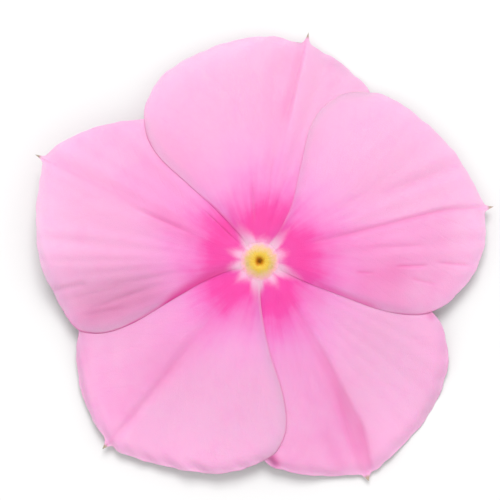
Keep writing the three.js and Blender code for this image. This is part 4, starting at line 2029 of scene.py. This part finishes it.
TOP_PETAL = Petal(
    node="petal_top", tip=(23.3, 77.9), midrib_bend=1, left=Side.OVER, right=Side.UNDER,
    left_edge=(
        (2.15, 127), (5.5, 128.7), (10.5, 133), (14.3, 134), (17.0, 131.4), (19.3, 125.4),
        (21.0, 115.5), (21.9, 100), (22.4, 88), (22.1, 80.6), (22.35, 78.7),
    ),
    right_edge=(
        (2.15, 63), (4.2, 60), (7.5, 56), (12.0, 61), (16.0, 58), (18.6, 54.5), (20.1, 56.7),
        (20.8, 62.5), (21.5, 69), (21.9, 74.6), (22.25, 76.9),
    ),
    folds=(
        Fold((14.5, 79.2), (22.3, 78.4), 0.24, 0.6, 0.28, shade=0.2),
        Fold((8, 84), (16, 79.8), 0.16, 0.8, 0.5, shade=0.1),
        Fold((12, 87), (21, 82.5), 0.35, 2.0, 1.4, shade=0.1),
        Fold((4.2, 97), (7.6, 95.5), 0.08, 0.2, 0.2, shade=0.35),
        Fold((9, 129.5), (17, 128), 0.0, 1.3, 1.9, shade=0.16),
        Fold((6, 82), (10, 82.5), 0.05, 0.15, 0.15, shade=0.15),
    ),
    lines=(
        EdgeLine(Half.LEFT, 2.9, 8.5, 0.24, 0.7), EdgeLine(Half.LEFT, 8.5, 16.5, 0.12, 0.3),
        EdgeLine(Half.LEFT, 15, 18, 0.4, 0.22),
    ),
    rim_shift=2.5, seed=1, flush_end=15, flush=0.15, broad_shift=0.9, broad_start=16, share=0.885,
)
LEFT_PETAL = Petal(
    node="petal_left", tip=(24.5, 154.6), midrib_bend=1, left=Side.OVER, right=Side.UNDER,
    left_edge=(
        (2.15, 203), (4.6, 197.6), (8.6, 203.2), (13.9, 206.1), (17.4, 204.4), (19.5, 199.5),
        (20.5, 190), (21.7, 179.7), (22.6, 167), (23.3, 157.2), (23.6, 155.4),
    ),
    right_edge=(
        (2.15, 135), (4.2, 130.5), (7.5, 123), (12.0, 128), (15.5, 126), (17.4, 126.6),
        (18.6, 131.5), (20.5, 139.1), (22.3, 146.8), (23.3, 152), (23.6, 153.8),
    ),
    folds=(
        Fold((8, 158), (13, 157.2), 0.12, 0.16, 0.3, shade=0.2),
        Fold((6, 157.5), (11.5, 156.5), 0.0, 1.1, 1.3, shade=0.4),
        Fold((12, 156.5), (23.5, 154.7), 0.12, 0.6, 0.9, shade=0.12),
        # Deeper colour with painted shade along the lobe that slopes down over the lower-left petal and
        # beside its lap.
        Fold((9, 200.5), (19, 199), 0.0, 1.2, 1.3, shade=0.24),
        Fold((3.5, 196), (8.5, 201), 0.0, 0.7, 0.9, shade=0.5),
        # Painted shade where the petal tucks under the top petal.
        Fold((12.5, 133), (17, 129.5), 0.0, 0.7, 0.7, shade=0.3),
        Fold((3.2, 139.5), (7.0, 137.6), 0.1, 0.08, 0.14, ease=0.2, shade=0.4),
    ),
    lines=(
        EdgeLine(Half.LEFT, 3.2, 10.0, 1.0, 0.95), EdgeLine(Half.LEFT, 9.5, 14.0, 0.4, 0.6),
        EdgeLine(Half.LEFT, 13.5, 19.5, 0.24, 0.7),
    ),
    shadows=(
        Fold((10, 196.5), (19.2, 196.5), 0.1, 1.8, 2.2, shade=0.3),
        Fold((17.4, 187.0), (20.9, 187.9), 0.15, 0.3, 0.18, ease=0.15, shade=0.12),
        Fold((8.5, 187.5), (15.5, 189), 0.05, 0.3, 0.25, shade=0.06),
        Fold((13.5, 190.5), (19.9, 191), 0.05, 0.25, 0.22, shade=0.07),
        Fold((11, 183.4), (18, 184.1), 0.04, 0.35, 0.3, shade=0.05),
        Fold((13, 179.2), (21.3, 179.6), 0.05, 0.4, 0.3, shade=0.05),
        Fold((11.5, 193.5), (17, 195.5), 0.06, 0.25, 0.22, shade=0.12),
        Fold((14.5, 198.6), (18.6, 196.8), 0.05, 0.25, 0.25, shade=0.1),
        Fold((15, 172.5), (21.5, 174), 0.04, 0.5, 0.4, shade=0.03),
    ),
    rim_shift=2.0, seed=2, flush_end=17, flush=0.6, broad_shift=0.25, broad_start=5, share=0.91,
    narrow_shift=-0.6,
)
LOWER_LEFT_PETAL = Petal(
    node="petal_lower_left", tip=(24.4, 230.1), midrib_bend=0, left=Side.OVER, right=Side.UNDER,
    left_edge=(
        (2.15, 271), (4.8, 271.6), (9.0, 276.7), (13.4, 280.1), (16.8, 279.1), (19.1, 274.6),
        (20.5, 267), (21.6, 258.1), (22.5, 245.1), (23.5, 234.8), (23.6, 231.4),
    ),
    right_edge=(
        (2.15, 211), (4.2, 201.5), (7.5, 193), (12.0, 199), (15.5, 198.5), (18.2, 198),
        (19.6, 202.8), (20.9, 209.5), (22.2, 217.5), (23.1, 225.5), (23.5, 229),
    ),
    folds=(
        Fold((5, 229), (15, 229.5), 0.14, 0.9, 0.8, shade=0.1),
        Fold((12, 231), (23.2, 230.8), 0.26, 0.6, 0.5, shade=0.16),
        Fold((5.5, 238), (17, 231), 0.0, 1.3, 1.3, shade=0.14),
        Fold((4.2, 256), (6.8, 257), 0.0, 1.2, 1.2, shade=0.25),
        Fold((13, 224.5), (21, 226.5), 0.1, 0.8, 0.8, shade=0.07),
    ),
    lines=(EdgeLine(Half.LEFT, 3.5, 19.5, 0.22, 0.4),),
    curl=0.18, rim_shift=-5.0, rim_start=-60.0, seed=3, flush_end=23, flush=0.5, broad_shift=1.9,
    broad_start=4, share=0.97, rim_painted_shade=0.12, narrow_shift=0.1, hem=0.3, crinkle=0.09,
)
LOWER_RIGHT_PETAL = Petal(
    node="petal_lower_right", tip=(24.5, 296.4), midrib_bend=9, left=Side.UNDER, right=Side.UNDER,
    left_edge=(
        (2.15, 332), (4.2, 333.5), (7.5, 343), (12.0, 344.5), (15.5, 346), (17.6, 344),
        (19.5, 339.5), (21.6, 330.2), (22.9, 317), (23.7, 301.5), (23.8, 298),
    ),
    right_edge=(
        (2.15, 279), (4.2, 275), (7.5, 266), (12.0, 273), (15.5, 272), (18.3, 269.6), (20.0, 271.8),
        (21.0, 276.8), (22.2, 285.2), (23.1, 292.3), (23.6, 295.2),
    ),
    folds=(
        Fold((5, 308.5), (12.5, 303.6), 0.12, 0.4, 0.7, shade=0.22),
        Fold((11, 304.4), (19.6, 301.6), 0.15, 0.3, 0.8, shade=0.28),
        Fold((19, 302), (23.6, 298), 0.16, 0.3, 0.8, shade=0.28),
        Fold((15, 300.2), (23.2, 295.6), 0.12, 0.5, 0.4, shade=0.18),
        Fold((12, 302.4), (23, 298), 0.06, 1.0, 1.0, 1.4, shade=0.26),
        Fold((4.5, 326), (7.5, 328), 0.0, 1.0, 1.0, shade=0.3),
        Fold((18, 290.5), (22.6, 291.5), 0.05, 0.7, 0.7, shade=0.2),
        Fold((17.5, 281), (21.5, 282), 0.0, 1.8, 1.8, shade=0.12),
        # Painted shadow with deeper colour where the petal's corners come out from under its neighbours.
        Fold((19.2, 273.3), (20.6, 275.2), 0.0, 0.5, 0.5, shade=0.7),
        Fold((17.0, 344), (18.2, 341.5), 0.0, 0.4, 0.4, shade=0.5),
    ),
    shadows=(
        Fold((19.4, 273.0), (20.4, 274.6), 0.0, 0.35, 0.35, shade=0.6),
        Fold((15, 302), (23, 298.6), 0.0, 0.6, 0.6, shade=0.08),
    ),
    curl=0.18, rim_shift=-5.0, rim_start=-60.0, seed=4, flush_end=23, flush=0.6, broad_shift=1.2,
    broad_start=3, share=0.965, rim_painted_shade=0.12,
)
RIGHT_PETAL = Petal(
    node="petal_right", tip=(23.9, 13.1), midrib_bend=10, left=Side.OVER, right=Side.OVER,
    left_edge=(
        (2.15, 55), (5.7, 59), (9.8, 66.4), (14.0, 69.3), (16.8, 67.2), (19.0, 62), (20.6, 53.5),
        (21.3, 43.2), (22.2, 29.5), (22.9, 16.3), (23.1, 14),
    ),
    right_edge=(
        (2.15, -20), (5.0, -23.7), (8.7, -22.9), (12.5, -22.1), (15.5, -20), (17.6, -16.8),
        (19.4, -11.6), (21.4, -3), (22.5, 5), (22.8, 10.6), (23.0, 12.3),
    ),
    folds=(
        Fold((7.5, 17.6), (19.3, 15.6), 0.13, 0.22, 0.4, shade=0.34),
        Fold((5, 20), (11, 16.5), 0.08, 0.5, 0.5, shade=0.1),
        Fold((18, 15.8), (22.8, 13.6), 0.1, 0.3, 0.5, shade=0.12),
        Fold((15.5, 27.5), (22, 24.8), 0.18, 0.9, 0.8, shade=0.1),
        Fold((10, 33), (15, 29), 0.08, 0.6, 0.5, shade=0.06),
        Fold((13.6, -2.1), (16.4, -1.4), 0.08, 0.14, 0.2, ease=0.2, shade=0.3),
        Fold((17.8, -0.3), (20.8, -1.1), 0.08, 0.14, 0.2, ease=0.2, shade=0.3),
        Fold((9.6, -6.5), (11.2, -5.7), 0.05, 0.14, 0.16, ease=0.2, shade=0.25),
        Fold((15.2, -6.5), (17.4, -7.4), 0.06, 0.16, 0.2, ease=0.2, shade=0.2),
        Fold((11.5, 7), (16, 5.5), 0.05, 0.2, 0.25, shade=0.12),
        Fold((9.5, -10), (14.5, -5), 0.03, 1.6, 2.2, shade=0.42),
        Fold((12, -1), (19, -1.5), 0.0, 1.4, 2.0, shade=0.14),
        Fold((6, 10), (12, 7.5), 0.0, 1.2, 1.2, shade=0.22),
        Fold((6, -20), (17, -17.5), 0.0, 0.9, 0.9, shade=0.16),
        Fold((7, 62), (14, 66), 0.0, 0.9, 0.9, shade=0.1),
    ),
    lines=(
        EdgeLine(Half.LEFT, 3.5, 13, 0.15, 0.3), EdgeLine(Half.RIGHT, 6.0, 12.5, 0.7, 0.55),
        EdgeLine(Half.RIGHT, 14, 17.5, 0.24, 0.5),
    ),
    seed=5, flush_end=20, flush=0.6, broad_shift=0.8, broad_start=5, share=0.905,
)


@dataclass
class Bloom:
    """The whole flower."""

    limb: Limb = field(default_factory=Limb)
    route: Route = field(default_factory=Route)
    petals: tuple[Petal, ...] = (LOWER_RIGHT_PETAL, LOWER_LEFT_PETAL, LEFT_PETAL, TOP_PETAL, RIGHT_PETAL)

    def build(self) -> None:
        """Builds every piece round the frame's throat ring."""
        low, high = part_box("throat_ring")
        middle = (Vector(low) + Vector(high)) / 2
        throat = Vector((middle.x, middle.y, 0))
        Painter.throat = throat
        back = PetalBack().build()
        for petal in self.petals:
            # Each petal has its own face material with its own share: painted light for how the key light
            # falls on that petal.
            name = petal.node.replace("_", " ").capitalize() + " face"
            petal.build(self.limb, throat, PetalFace(name, share=petal.share).build(), back)
        ThroatRing().build(throat, self.petals)
        ThroatHairs().build(throat)
        Anthers().build(self.route, throat)
        CorollaTube().build(self.route, throat)
        Calyx().build(self.route, throat)
        self.dress_pistil()
        Studio().build(throat)

    @staticmethod
    def dress_pistil() -> None:
        """Gives the frame's pistil, which stays as it is, a living skin."""
        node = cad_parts["pistil"]
        node.data.materials.clear()
        node.data.materials.append(NodeFinish("Pistil skin", (206, 212, 160), (178, 190, 120)).build())
        log.info("pistil: the frame's own solid")


def main() -> None:
    """Builds the bloom and its stage."""
    logging.basicConfig(level=logging.INFO, format="%(name)s: %(message)s")
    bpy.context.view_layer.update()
    Bloom().build()


if __name__ == "__main__":
    main()
